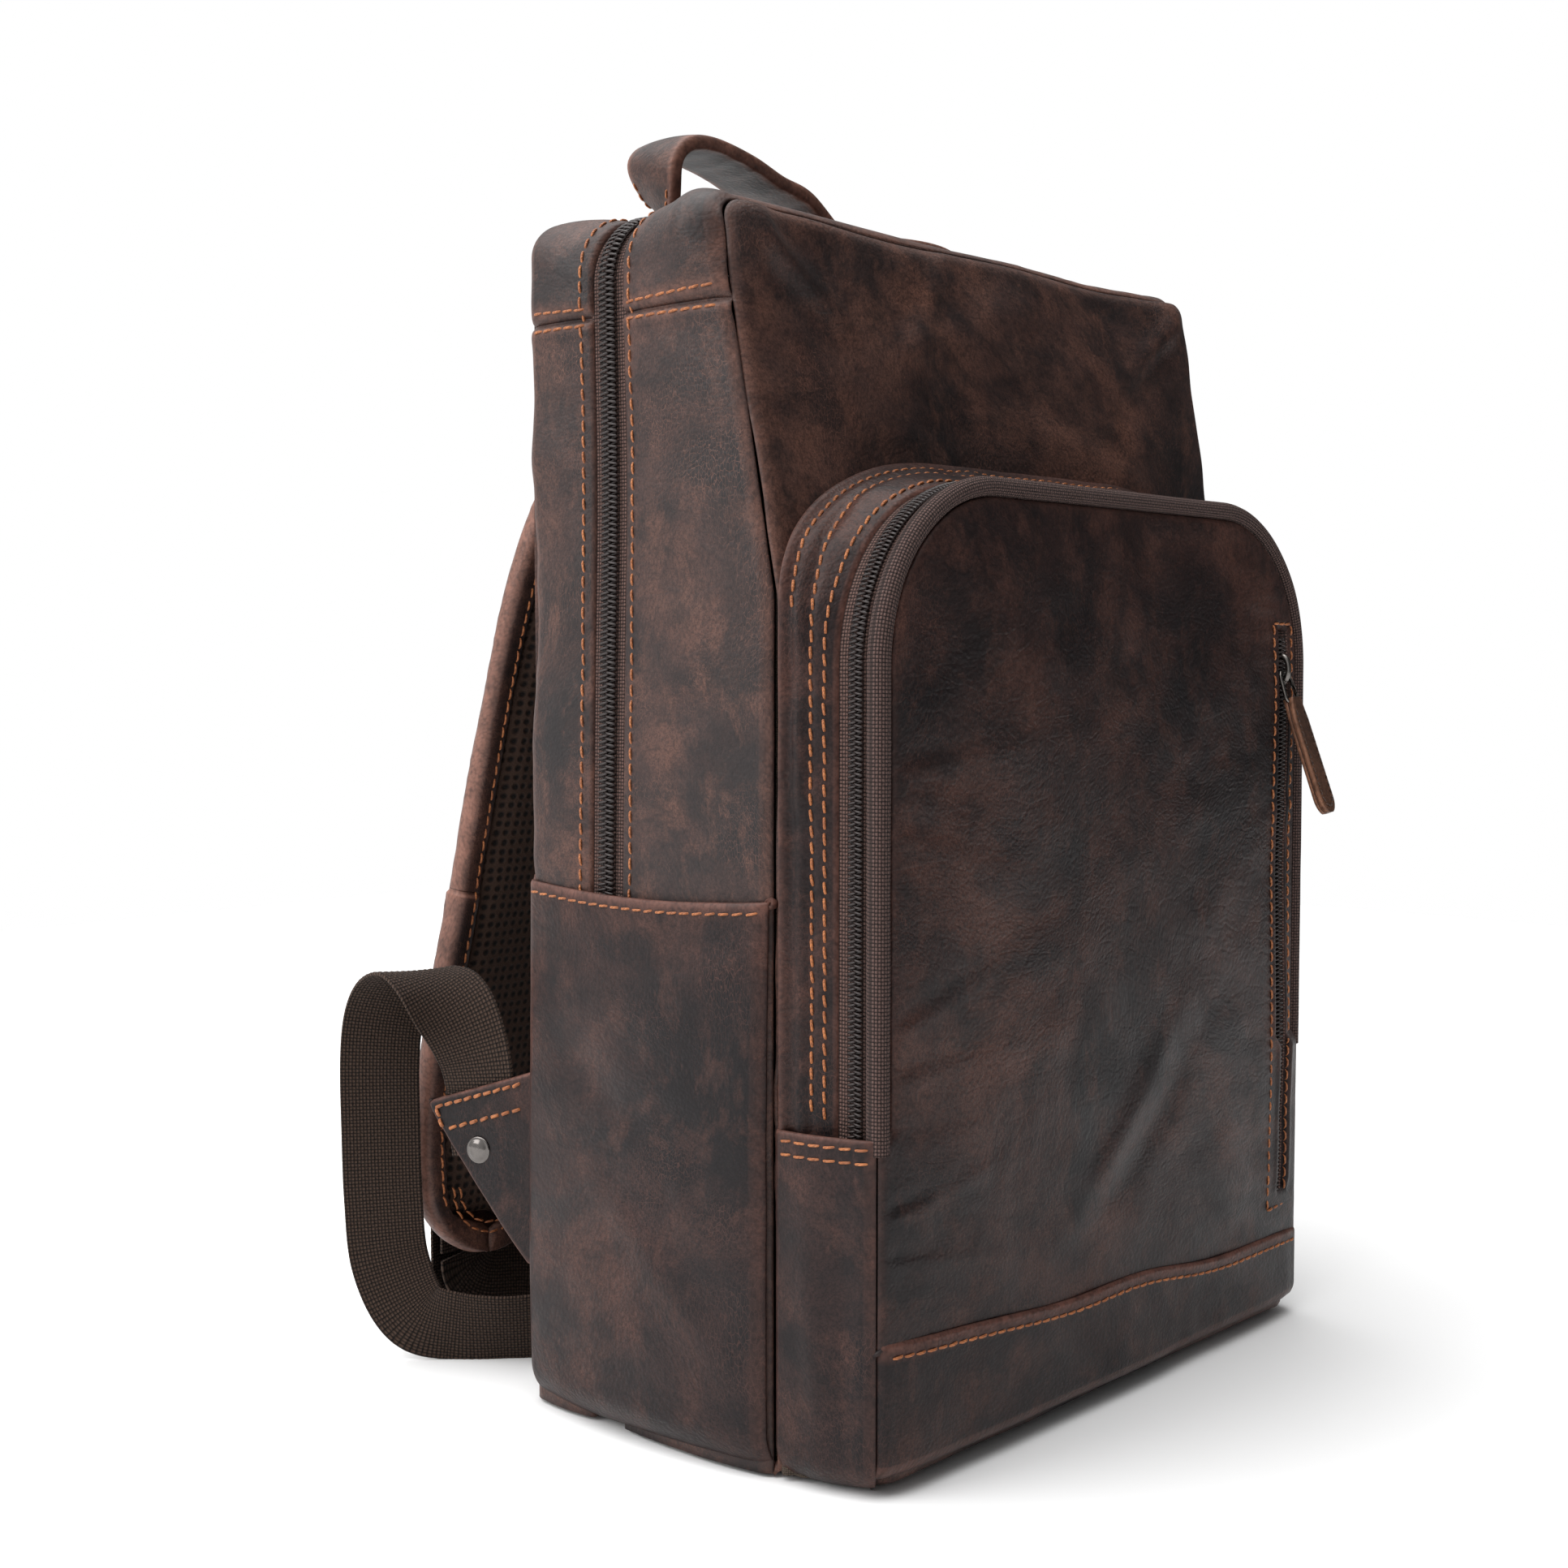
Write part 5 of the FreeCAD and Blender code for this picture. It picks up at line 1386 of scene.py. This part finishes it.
def all_sliders():
    tape, side = 142.0, 134.6
    slider("main_slider_upper", "main_pull_upper", 90, (tape, ZIP_Y, 256), -16, 3.6, 3.2, 46)
    slider("main_slider_lower", "main_pull_lower", 90, (tape, ZIP_Y, 226), -16, 3.6, 3.2, 46)
    slider("pocket_slider", "pocket_pull", 90, (side, -68, 130), 0, 2.8, 2.8, 46)
    slider("front_slider", "front_pull", 0, (116, -75, 266), -20, 2.8, 2.8, 48)


# ---- handle ----------------------------------------------------------------------------------------
# Stations of the left half: x, y, z, the direction across the band in x and y, and its width.
HANDLE = [
    (-69, 75.7, TOP - 3.5, 1, 0, 0.80), (-70.5, 76.2, TOP + 10, 0.93, 0.36, 0.84),
    (-79.5, 74.8, TOP + 20.5, 0.45, 0.89, 0.94), (-84.5, 72.6, TOP + 31.5, 0.08, 1, 1.0),
    (-79, 72, TOP + 38.6, 0, 1, 1.0), (-65, 72, TOP + 40.6, 0, 1, 1.0),
    (-45, 72, TOP + 37.8, 0, 1, 1.0), (-28, 72, TOP + 33, 0, 1, 1.0), (-11, 72, TOP + 29.4, 0, 1, 1.0),
]
HANDLE_HALF, HANDLE_THICK = 14, 5.4
SLACK = 0.60                       # the right half lies slacker than the left


def handle():
    right = [(-x, y, z - SLACK * max(z - TOP - 8, 0), -a, b, f) for x, y, z, a, b, f in reversed(HANDLE)]
    line, at = curve(HANDLE + right, 1.6)
    path, side, factor = line[:, :3], line[:, [3, 4, 4]] * np.array([1, 1, 0]), line[:, 5]
    near = np.minimum(at, at[-1] - at)

    def relief(points, u, v):
        middle = 1 - u[None] ** 2
        crown = middle * np.sign(v)[None] * smooth((near - 22) / 20)[:, None]
        wrinkle = noise(points, 5.5, 12)[:, None] * 0.35 * (v > 0)[None]
        dimple = -0.9 * bell(near, 34, 6)[:, None] * middle * (v > 0.9)[None]
        return (crown + wrinkle + dimple) * (np.abs(v) > 0.99)[None]

    obj = band("carry_handle", path, side, HANDLE_HALF * factor, HANDLE_THICK, LEATHER, "handle", seed=15, columns=14,
               edge=1.5, relief=relief, wear=0.7)
    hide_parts("handle", "handle_core")
    _, s, n = line_frame(path, side)
    paths = []
    for sign in (-1, 1):
        for face in (-1, 1):
            for pick in ((at > 5) & (at < 34), (at > at[-1] - 34) & (at < at[-1] - 5)):
                q = path + s * (sign * (HANDLE_HALF * factor - 3.0))[:, None] + n * (face * 2.75)
                paths.append((q[pick], n[pick] * face))
    stitches("stitch_handle", paths, "handle", THREAD_MAT, pitch=4.6)


# ---- shoulder straps -------------------------------------------------------------------------------
# Stations of the left strap, from its anchor down: x, y, z and its width.
STRAP = [(-62, 85.0, 408, 0.72), (-66, 92.0, 382, 0.78), (-74, 106.0, 340, 0.92), (-80, 118.0, 300, 1.0),
         (-84, 128.5, 256, 1.0), (-87, 137.5, 212, 1.0), (-91, 144.5, 170, 0.98), (-98, 149.0, 128, 0.95),
         (-105, 149.5, 88, 0.92), (-110, 146.0, 56, 0.84), (-113, 141.5, 36, 0.78)]
BORDER = 10.0                      # width of the leather border on the strap's inner face
STRAP_HALF, STRAP_END = 36, 26     # half the strap's width, and the length of its rounded end
OVERLAY_Z = 176                    # where the leather overlay near the strap's foot begins


def strap(side, sign):
    base, at = curve([(sign * x, y, z, f) for x, y, z, f in STRAP], 2.6)
    total = at[-1]
    step_at = np.interp(-OVERLAY_Z, -base[:, 2], at)
    end_at = total - STRAP_END
    rows = np.unique(np.concatenate([at[at < end_at], spaced(step_at - 2, step_at + 2, 0.5),
                                     end_at + STRAP_END * np.sin(np.linspace(0, math.pi / 2, 16))]))
    line = np.stack([np.interp(rows, at, base[:, k]) for k in range(3)], -1)
    _, s, n = line_frame(line, (1, 0, 0))
    left = total - rows
    half = STRAP_HALF * np.interp(rows, at, base[:, 3])
    half = half * np.sqrt(np.clip(1 - np.clip(1 - left / STRAP_END, 0, 1) ** 2, 0.004, 1))
    overlay = 1.1 * smooth((rows - step_at) / 1.5)
    thick = 5.0 * (0.62 + 0.38 * smooth(rows / 30)) * (0.55 + 0.45 * smooth(left / STRAP_END)) + overlay
    half = half + overlay * 0.4
    squeeze = np.minimum(1, half / 14)

    inner = np.array([BORDER, 8.6, 6.4, 4.4, 2.8, 1.4, 0.45, 0.0, 0.45, 1.4, 2.8, 5.0, 8.0])
    level = np.array([-0.80, -0.97, -1.0, -1.0, -0.96, -0.80, -0.45, 0.0, 0.45, 0.80, 0.96, 1.0, 1.0])
    g = np.linspace(-1, 1, 13)[1:-1]

    def lateral(e, sgn):
        """Distance e in from the left or right edge; the border closes over the rounded end."""
        wide = BORDER + np.maximum(half - BORDER, 0) * smooth((15 - left) / 6)
        grow = np.where(e > 6.3, (e - 6.3) / (BORDER - 6.3), 0)
        inset = np.minimum(e, 6.3) * squeeze + grow * (wide - np.minimum(6.3, wide) * squeeze)
        return sgn * (half - np.minimum(inset, half))

    columns, heights = [], []
    for e, h in zip(inner, level):
        columns.append(lateral(e if h < 0 else min(e, 6.2), -1))
        heights.append(h * thick)
    outer_half = half - 8.0 * squeeze * 0.775
    for k in g:
        columns.append(outer_half * k)
        heights.append(thick * (1 + 0.20 * (1 - k * k)))
    for e, h in zip(inner[::-1], level[::-1]):
        columns.append(lateral(e if h < 0 else min(e, 6.2), 1))
        heights.append(h * thick)
    off, rise = np.stack(columns, 1), np.stack(heights, 1)
    p = line[:, None] + s[:, None] * off[..., None] + n[:, None] * rise[..., None]
    edge_of = np.concatenate([inner * np.sign(-level), 20 + 0 * g, (inner * np.sign(-level))[::-1]])
    ripple = 0.30 * noise(p * np.array([1, 1, 2.2]), 6.0, 41) + 0.45 * noise(p, 21, 42)
    face_of = np.sign(np.concatenate([level, 1 + 0 * g, level[::-1]]))
    p = p + n[:, None] * (ripple * face_of[None] * squeeze[:, None])[..., None]
    wear = np.broadcast_to(np.clip(0.8 * bell(edge_of, 0, 1.6), 0, 1), off.shape)
    wear = np.clip(wear + 0.7 * bell(rows, step_at + 0.9, 0.8)[:, None], 0, 1)
    body, bend = f"strap_{side}", f"strap_{side}_bend"
    normals = outward_normals(p, line[:, None])
    leather = sheet(f"strap_cover_{side}", p, LEATHER, bend, 1.3, seed=24, wear=wear, n=normals)
    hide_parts(f"strap_{side}_leather")

    paths = []
    for sgn in (-1, 1):
        q = line + s * lateral(6.9, sgn)[:, None] - n * (thick + 0.1)[:, None]
        keep = (rows > 14) & (left > 16)
        paths.append((q[keep], -n[keep]))
        q = line + s * lateral(6.0, sgn)[:, None] + n * (thick + 0.15)[:, None]
        keep = (rows > 14) & (left > 10)
        paths.append((q[keep], n[keep]))
    for inset in (7.5, 11.5):
        turn = np.linspace(-math.pi / 2, math.pi / 2, 24)
        here = end_at + (STRAP_END - inset) * np.cos(turn)
        width = 0.80 * (np.interp(end_at, rows, half) - inset) * np.sin(turn)
        pick = lambda a: np.stack([np.interp(here, rows, a[:, k]) for k in range(3)], -1)
        depth = np.interp(here, rows, thick)
        q = pick(line) + pick(s) * width[:, None] - pick(n) * (depth * 0.98 + 0.1)[:, None]
        paths.append((q, -pick(n)))
    stitches(f"stitch_strap_{side}", paths, bend, THREAD_MAT, pitch=5.0, thread=0.42)

    keep = (rows > 8) & (left > 12)
    w = np.maximum(half[keep] - 7.0, 3)
    t = thick[keep] - overlay[keep]
    a = circle(28)
    cx, cy = np.sign(np.cos(a)) * np.abs(np.cos(a)) ** 0.45, np.sign(np.sin(a)) * np.abs(np.sin(a)) ** 0.8
    mid, reach = -0.15 * t, 0.72 * t
    loops = (line[keep][:, None] + s[keep][:, None] * (cx[None] * w[:, None])[..., None]
             + n[keep][:, None] * (mid[:, None] + cy[None] * reach[:, None])[..., None])

    def fab_of(points):
        order = np.argsort(line[:, 2])
        height = line[order, 2]
        x0 = np.interp(points[:, 2], height, line[order, 0])
        run = np.interp(points[:, 2], height, rows[order])
        return np.stack([points[:, 0] - x0, run, 0 * run], -1) * MM

    pad = soft_pad(f"strap_pad_{side}", loops, bend, fab_of, cap=2.2, seed=26)
    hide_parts(f"strap_{side}_foam", f"strap_{side}_mesh")

    x, y, z = sign * -107.0, 159.6, 92.0                  # the ladder lock's middle
    keeper = ((-2.6, 32), (-1.2, 24), (2.2, 17), (2.9, 13), (1.4, 10.2), (-1.4, 10.2), (-3.0, 13), (-3.4, 30))
    loop, _ = curve([(x, y + dy, z + dz) for dy, dz in keeper], 1.0)
    tag = band(f"lock_keeper_{side}", loop, (1, 0, 0), 13.0, 1.5, LEATHER, body, seed=27, columns=8, edge=0.6)
    across_x = np.linspace(-11, 11, 12)
    row = np.array([x, y - 1.0, z + 28.5]) + across_x[:, None] * np.array([1, 0, 0])
    n = np.tile([0, 1.0, -0.2], (len(row), 1))
    stitches(f"stitch_keeper_{side}", [(row, n)], body, THREAD_MAT, pitch=3.6, thread=0.4)


# ---- webbing ---------------------------------------------------------------------------------------
# Stations of the left adjuster, from its tab over the floor to the lock: x, y, z and the direction across it.
WEBBING = [
    (-148.6, 97.4, 88, 0.27, -0.96, 0), (-148.9, 98.6, 96, 0.27, -0.96, 0),
    (-149.5, 99.8, 104, 0.27, -0.96, 0), (-149.6, 99.9, 113, 0.28, -0.96, 0), (-151.5, 101.5, 126, 0.42, -0.91, 0),
    (-154.5, 107, 140, 0.66, -0.75, 0), (-156.5, 117, 150, 0.86, -0.5, 0), (-156.5, 129, 153, 0.93, -0.37, 0),
    (-155.5, 141, 147, 0.90, -0.43, 0), (-154.5, 149.5, 134, 0.82, -0.57, 0), (-154, 153, 116, 0.75, -0.66, 0),
    (-153.5, 153.5, 90, 0.72, -0.69, 0), (-153, 153, 62, 0.70, -0.71, 0), (-151.5, 151, 38, 0.68, -0.70, 0.1),
    (-146.5, 143, 19, 0.46, -0.66, 0.58), (-137, 130.5, 14.0, 0.10, -0.50, 0.80), (-125, 116, 13.4, 0.04, -0.52, 0.83),
    (-110, 104, 14.0, 0, -0.34, 0.94), (-92, 98, 15.2, 0, 0, 1), (-74, 101, 15.2, 0, 0, 1), (-62, 113, 15.2, 0, 0, 1),
    (-60, 130, 15.2, 0, 0, 1), (-68, 145, 15.4, 0.1, 0.05, 1), (-82, 154, 18, 0.5, 0.1, 0.86),
    (-98, 156.8, 20.5, 0.80, 0.02, 0.6), (-105.8, 156.85, 26.5, 0.97, 0.01, 0.22), (-107, 156.75, 33.0, 1, 0, 0),
]


def weave(line, u, v):
    """Raised threads of a heavy plain weave, on both faces."""
    a = np.sin(u * 14.5 * 2 * math.pi / WEAVE)[None] * np.sin(lengths(line) * 2 * math.pi / WEAVE)[:, None]
    bump = 0.38 * np.maximum(a, 0) ** 0.7 + 0.12 * np.maximum(-a, 0) ** 0.7 - 0.17
    return bump * v[None]


def webbing(side, sign):
    def woven(name, line, across_it, where, seed):
        obj = band(name, line, across_it, 15.0, 1.5, WEBBING_MAT, where, seed=seed, columns=54, edge=0.5, relief=weave,
                   wear=0)
        return obj

    rows, _ = curve(np.array(WEBBING) * np.array([sign, 1, 1, sign, 1, 1]), 0.54)
    obj = woven(f"adjuster_{side}", rows[:, :3], rows[:, 3:], f"webbing_{side}_bend", 45)
    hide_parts(f"webbing_{side}")
    back, front = 156.75, 162.45
    yz = [(back, 34), (back, 60), (back, 80), (back, 88), (back + 0.9, 91.4), (back + 2.85, 92.3), (front - 0.9, 91.4),
          (front, 88), (front + 0.2, 70), (front + 0.4, 40), (front + 0.1, 12.5)]
    rows, _ = curve([(sign * -107.0, y, z) for y, z in yz], 0.54)
    obj = woven(f"adjuster_end_{side}", rows, (1, 0, 0), f"strap_{side}", 46)
    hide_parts(f"webbing_tail_{side}")


# ---- tabs that hold the webbing --------------------------------------------------------------------
TAB_LENGTH, TAB_HALF = 44, 2.9     # how far a tab stands out, and half its thickness
RIVET = (21, 90)                   # the rivet's place on the tab, out and up


def tab(side, sign):
    """Two plies of leather in the back seam, a double row of stitches, and a domed rivet."""
    out = np.array([-0.27, 0.96, 0])
    face = np.array([-0.96, -0.27, 0])
    foot = np.array([-143.6, 78.6, 0])
    flip = np.array([sign, 1, 1])

    def point(u, v, h):
        u, v, h = np.broadcast_arrays(u, v, h)
        return (foot + out * u[..., None] + face * h[..., None] + np.array([0, 0, 1.0]) * v[..., None]) * flip

    def dent(u, v):
        """A crease across the tab, the dip round the rivet and soft waves."""
        crease = 1.4 * bell(v + 0.5 * u, 92, 7) * smooth((30 - u) / 20)
        dip = -1.0 * bell(u, RIVET[0], 5) * bell(v, RIVET[1], 5)
        return 0.8 * (crease + dip + 0.5 * noise(point(u, v, 0 * v), 17, 52))

    def lower(u):
        return 50 + 55.2 * np.clip(u / TAB_LENGTH, 0, 1) ** 1.06

    def upper(u):
        return 120 - 14 * u / TAB_LENGTH

    share = np.concatenate([[0, 0.006, 0.02, 0.045], np.linspace(0.08, 0.92, 22), [0.955, 0.98, 0.994, 1]])[None]
    u = np.concatenate([spaced(-4, 40, 2.0), [41.5, 42.6, 43.4, 43.8]])[:, None]
    low = lower(u) + 1.6 * smooth((u - 41) / 3)
    high = upper(u) - 1.2 * smooth((u - 41) / 3)
    v = low + (high - low) * share
    edge = np.minimum(np.minimum(v - low, high - v), TAB_LENGTH - u)
    for k, ply in enumerate((1, -1)):
        p = point(u, v, ply * (TAB_HALF - rounded_edge(edge, 1.3)) + dent(u, v))
        n = grid_normals(p)
        n = n * np.sign(np.sum(n * face * flip * ply, axis=-1, keepdims=True))
        wear = np.clip(1.0 * bell(edge, 0.2, 0.9), 0, 1)
        obj = sheet(f"tab_{'outer' if ply > 0 else 'inner'}_{side}", p, SHADED_DARK_LEATHER, "bag", 1.7, seed=52 + k, wear=wear, n=n)
        if ply > 0:
            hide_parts(f"strap_tab_{side}")
    def row_of_thread(u, v, ply):
        return point(u, v, ply * TAB_HALF + dent(u, v)), np.tile(ply * face * flip, (len(u), 1))

    paths = []
    u = spaced(2, 40.5, 1.5)
    for below in (3.2, 12.4):
        v = upper(u) - below
        inside = v > lower(u) + 2.6
        paths += [row_of_thread(u[inside], v[inside], ply) for ply in (1, -1)]
    paths.append(row_of_thread(np.linspace(39.6, 36.8, 5), np.linspace(104.2, 96.6, 5), 1))
    stitches(f"stitch_tab_{side}", paths, "bag", THREAD_MAT, pitch=4.6, thread=0.62)

    def cap(name, profile):
        """A round cap on the rivet's axis, from radii and heights."""
        a = circle(28)
        rings = [point(RIVET[0] + r * np.cos(a), RIVET[1] + r * np.sin(a), h + 0 * a) for r, h in profile]
        return lofted(name, rings, METAL_BRIGHT, "bag")

    front_cap = cap(f"rivet_outer_{side}", ((0.01, 2.2), (4.7, 2.2), (5.1, 2.7), (5.0, 3.15), (4.5, 3.35), (4.25, 3.30),
                                            (3.6, 3.8), (2.5, 4.2), (1.2, 4.4), (0.01, 4.45)))
    back_cap = cap(f"rivet_inner_{side}", ((0.01, -2.4), (4.8, -2.4), (5.0, -3.0), (4.0, -3.9), (1.8, -4.2),
                                           (0.01, -4.2)))
    if sign > 0:
        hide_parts("tab_rivets")


# ---- back pads -------------------------------------------------------------------------------------
def back_pads():
    """Two padded columns of spacer mesh on the back, and the leather patch over the straps' upper ends."""
    wide, high, out, middle = 98, 312, 55, 198
    for side, sign in (("left", -1), ("right", 1)):
        outline = rounded_loop(wide, high, 18, 8)
        loops = []
        for y, k in ((77.6, 0.90), (77.8, 0.985), (79.4, 1.0), (81.4, 0.985), (82.3, 0.93)):
            q = outline * np.array([k, 1 - (1 - k) * wide / high])
            loops.append(np.stack([q[:, 0] + sign * out, np.full(len(q), y), q[:, 1] + middle], -1))
        pad = soft_pad(f"back_pad_{side}", np.array(loops), "bag", lambda p: p[:, [0, 2, 1]] * MM, cap=2.4,
                       seed=55 + sign)
        if sign < 0:
            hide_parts("back_mesh_pad")
        rim = rounded_loop(wide + 5, high + 5, 20, 8)
        path = np.stack([rim[:, 0] + sign * out, np.full(len(rim), 79.0), rim[:, 1] + middle], -1)
        edge = wire(f"back_pad_edge_{side}", path, 1.7, "bag", closed=True, material=LEATHER)
    x = spaced(-101, 101, 2.5)[None]
    foot, head = 398, 414                                 # of the patch over the straps' upper ends
    z = np.concatenate([foot + np.array([0.2, 0.6, 1.4]), spaced(foot + 3, head - 3, 1.6),
                        head - np.array([1.4, 0.6, 0.2])])[:, None]

    def height(x, z):
        raised = smooth((38 - np.abs(np.abs(x) - 62)) / 10) * smooth((head - 0.2 - z) / 4.5)
        return 80.9 + raised * (11.3 + 0.36 * np.maximum(408 - z, 0))

    edge = np.minimum(np.minimum(z - foot, head - z), 101.6 - np.abs(x))
    p = np.stack(np.broadcast_arrays(x, height(x, z) - rounded_edge(edge, 1.5), z), -1)
    p[..., 1] += 0.4 * noise(p, 21, 58)
    patch = sheet("strap_anchor_patch", p, LEATHER, "bag", 1.6, np.array([0, -FAR, 390]), 57,
                  wear=0.9 * bell(edge, 0, 1.2))
    at_x = spaced(-98.5, 98.5, 2.0)
    n = np.tile([0, 1.0, 0], (len(at_x), 1))
    rows = [(np.stack([at_x, height(at_x, level) + 0.15, np.full_like(at_x, level)], -1), n)
            for level in (foot + 3.2, head - 3.2)]
    stitches("stitch_anchor", rows, "bag", THREAD_MAT)


for build in (main_strips, main_faces, main_zip, main_stitching, side_pockets, pocket_side, piping, pocket_front,
              pocket_wraps, upright_zip, insides, all_sliders, handle, back_pads):
    build()
for label, mirror in SIDES:
    strap(label, mirror)
    webbing(label, mirror)
    tab(label, mirror)

# CAD pieces that show as they are
for node, material in (("ladder_lock_left", PLASTIC), ("ladder_lock_right", PLASTIC), ("base_board", FOAM_MAT)):
    obj = bpy.data.objects.get(node)
    for slot in obj.material_slots:
        slot.material = material


# ---- camera, floor and light ------------------------------------------------------------------------
def aim(obj, place, target):
    obj.location = place
    obj.rotation_mode = "QUATERNION"
    obj.rotation_quaternion = (Vector(target) - Vector(place)).to_track_quat("-Z", "Y")


def camera():
    data = bpy.data.cameras.new("camera")
    cam = bpy.data.objects.new("camera", data)
    bpy.context.scene.collection.objects.link(cam)
    data.lens, data.sensor_width = 48.55, 36.0
    azimuth, elevation = math.radians(-48.5), math.radians(3.18)
    level = math.cos(elevation)
    back = Vector((math.sin(azimuth) * level, -math.cos(azimuth) * level, math.sin(elevation)))
    place = Vector((-0.652, -0.494, 0.267))
    aim(cam, place, place - back)
    data.clip_start, data.clip_end = 0.05, 50
    bpy.context.scene.camera = cam


def area(name, place, target, width, height, power, colour=(1, 1, 1)):
    data = bpy.data.lights.new(name, "AREA")
    data.shape, data.size, data.size_y = "RECTANGLE", width, height
    data.energy, data.color = power, colour
    obj = bpy.data.objects.new(name, data)
    bpy.context.scene.collection.objects.link(obj)
    aim(obj, place, target)


def studio():
    """A white sweep behind the bag and to its left, a darker room in front, one soft light above."""
    scene = bpy.context.scene
    scene.view_settings.view_transform = "Standard"
    world = bpy.data.worlds.new("studio")
    scene.world = world
    world.use_nodes = True
    tree = world.node_tree

    def new(kind, **props):
        node = tree.nodes.new("ShaderNode" + kind)
        for key, value in props.items():
            setattr(node, key, value)
        return node

    direction = new("TexCoord")
    towards = new("VectorMath", operation="DOT_PRODUCT")
    towards.inputs[1].default_value = (-0.62, 0.72, 0.32)
    level = new("MapRange", interpolation_type="SMOOTHSTEP")
    for key, value in zip(range(1, 5), (-0.60, 0.75, 0.045, 0.95)):
        level.inputs[key].default_value = value
    path = new("LightPath")
    shown = new("Mix", data_type="FLOAT")
    shown.inputs[3].default_value = 1.0
    background = tree.nodes["Background"]
    background.inputs["Color"].default_value = (1, 1, 1, 1)
    tree.links.new(direction.outputs["Generated"], towards.inputs[0])
    tree.links.new(towards.outputs["Value"], level.inputs[0])
    tree.links.new(path.outputs["Is Camera Ray"], shown.inputs[0])
    tree.links.new(level.outputs[0], shown.inputs[2])
    tree.links.new(shown.outputs[0], background.inputs["Strength"])
    mesh = bpy.data.meshes.new("floor")
    r = 1.5
    mesh.from_pydata([(-r, -r, 0), (r, -r, 0), (r, r, 0), (-r, r, 0)], [], [(0, 1, 2, 3)])
    m = Nodes("floor")
    mesh.materials.append(m.finish(Base_Color=(0.96, 0.96, 0.96, 1), Roughness=0.95))
    floor = bpy.data.objects.new("floor", mesh)
    scene.collection.objects.link(floor)
    area("top", (-0.5, 0.3, 2.6), (0, 0, 0), 3.2, 3.2, 95)
    area("key", (-1.9, 0.9, 1.3), (0, 0, 0.30), 1.3, 1.3, 20)


camera()
studio()
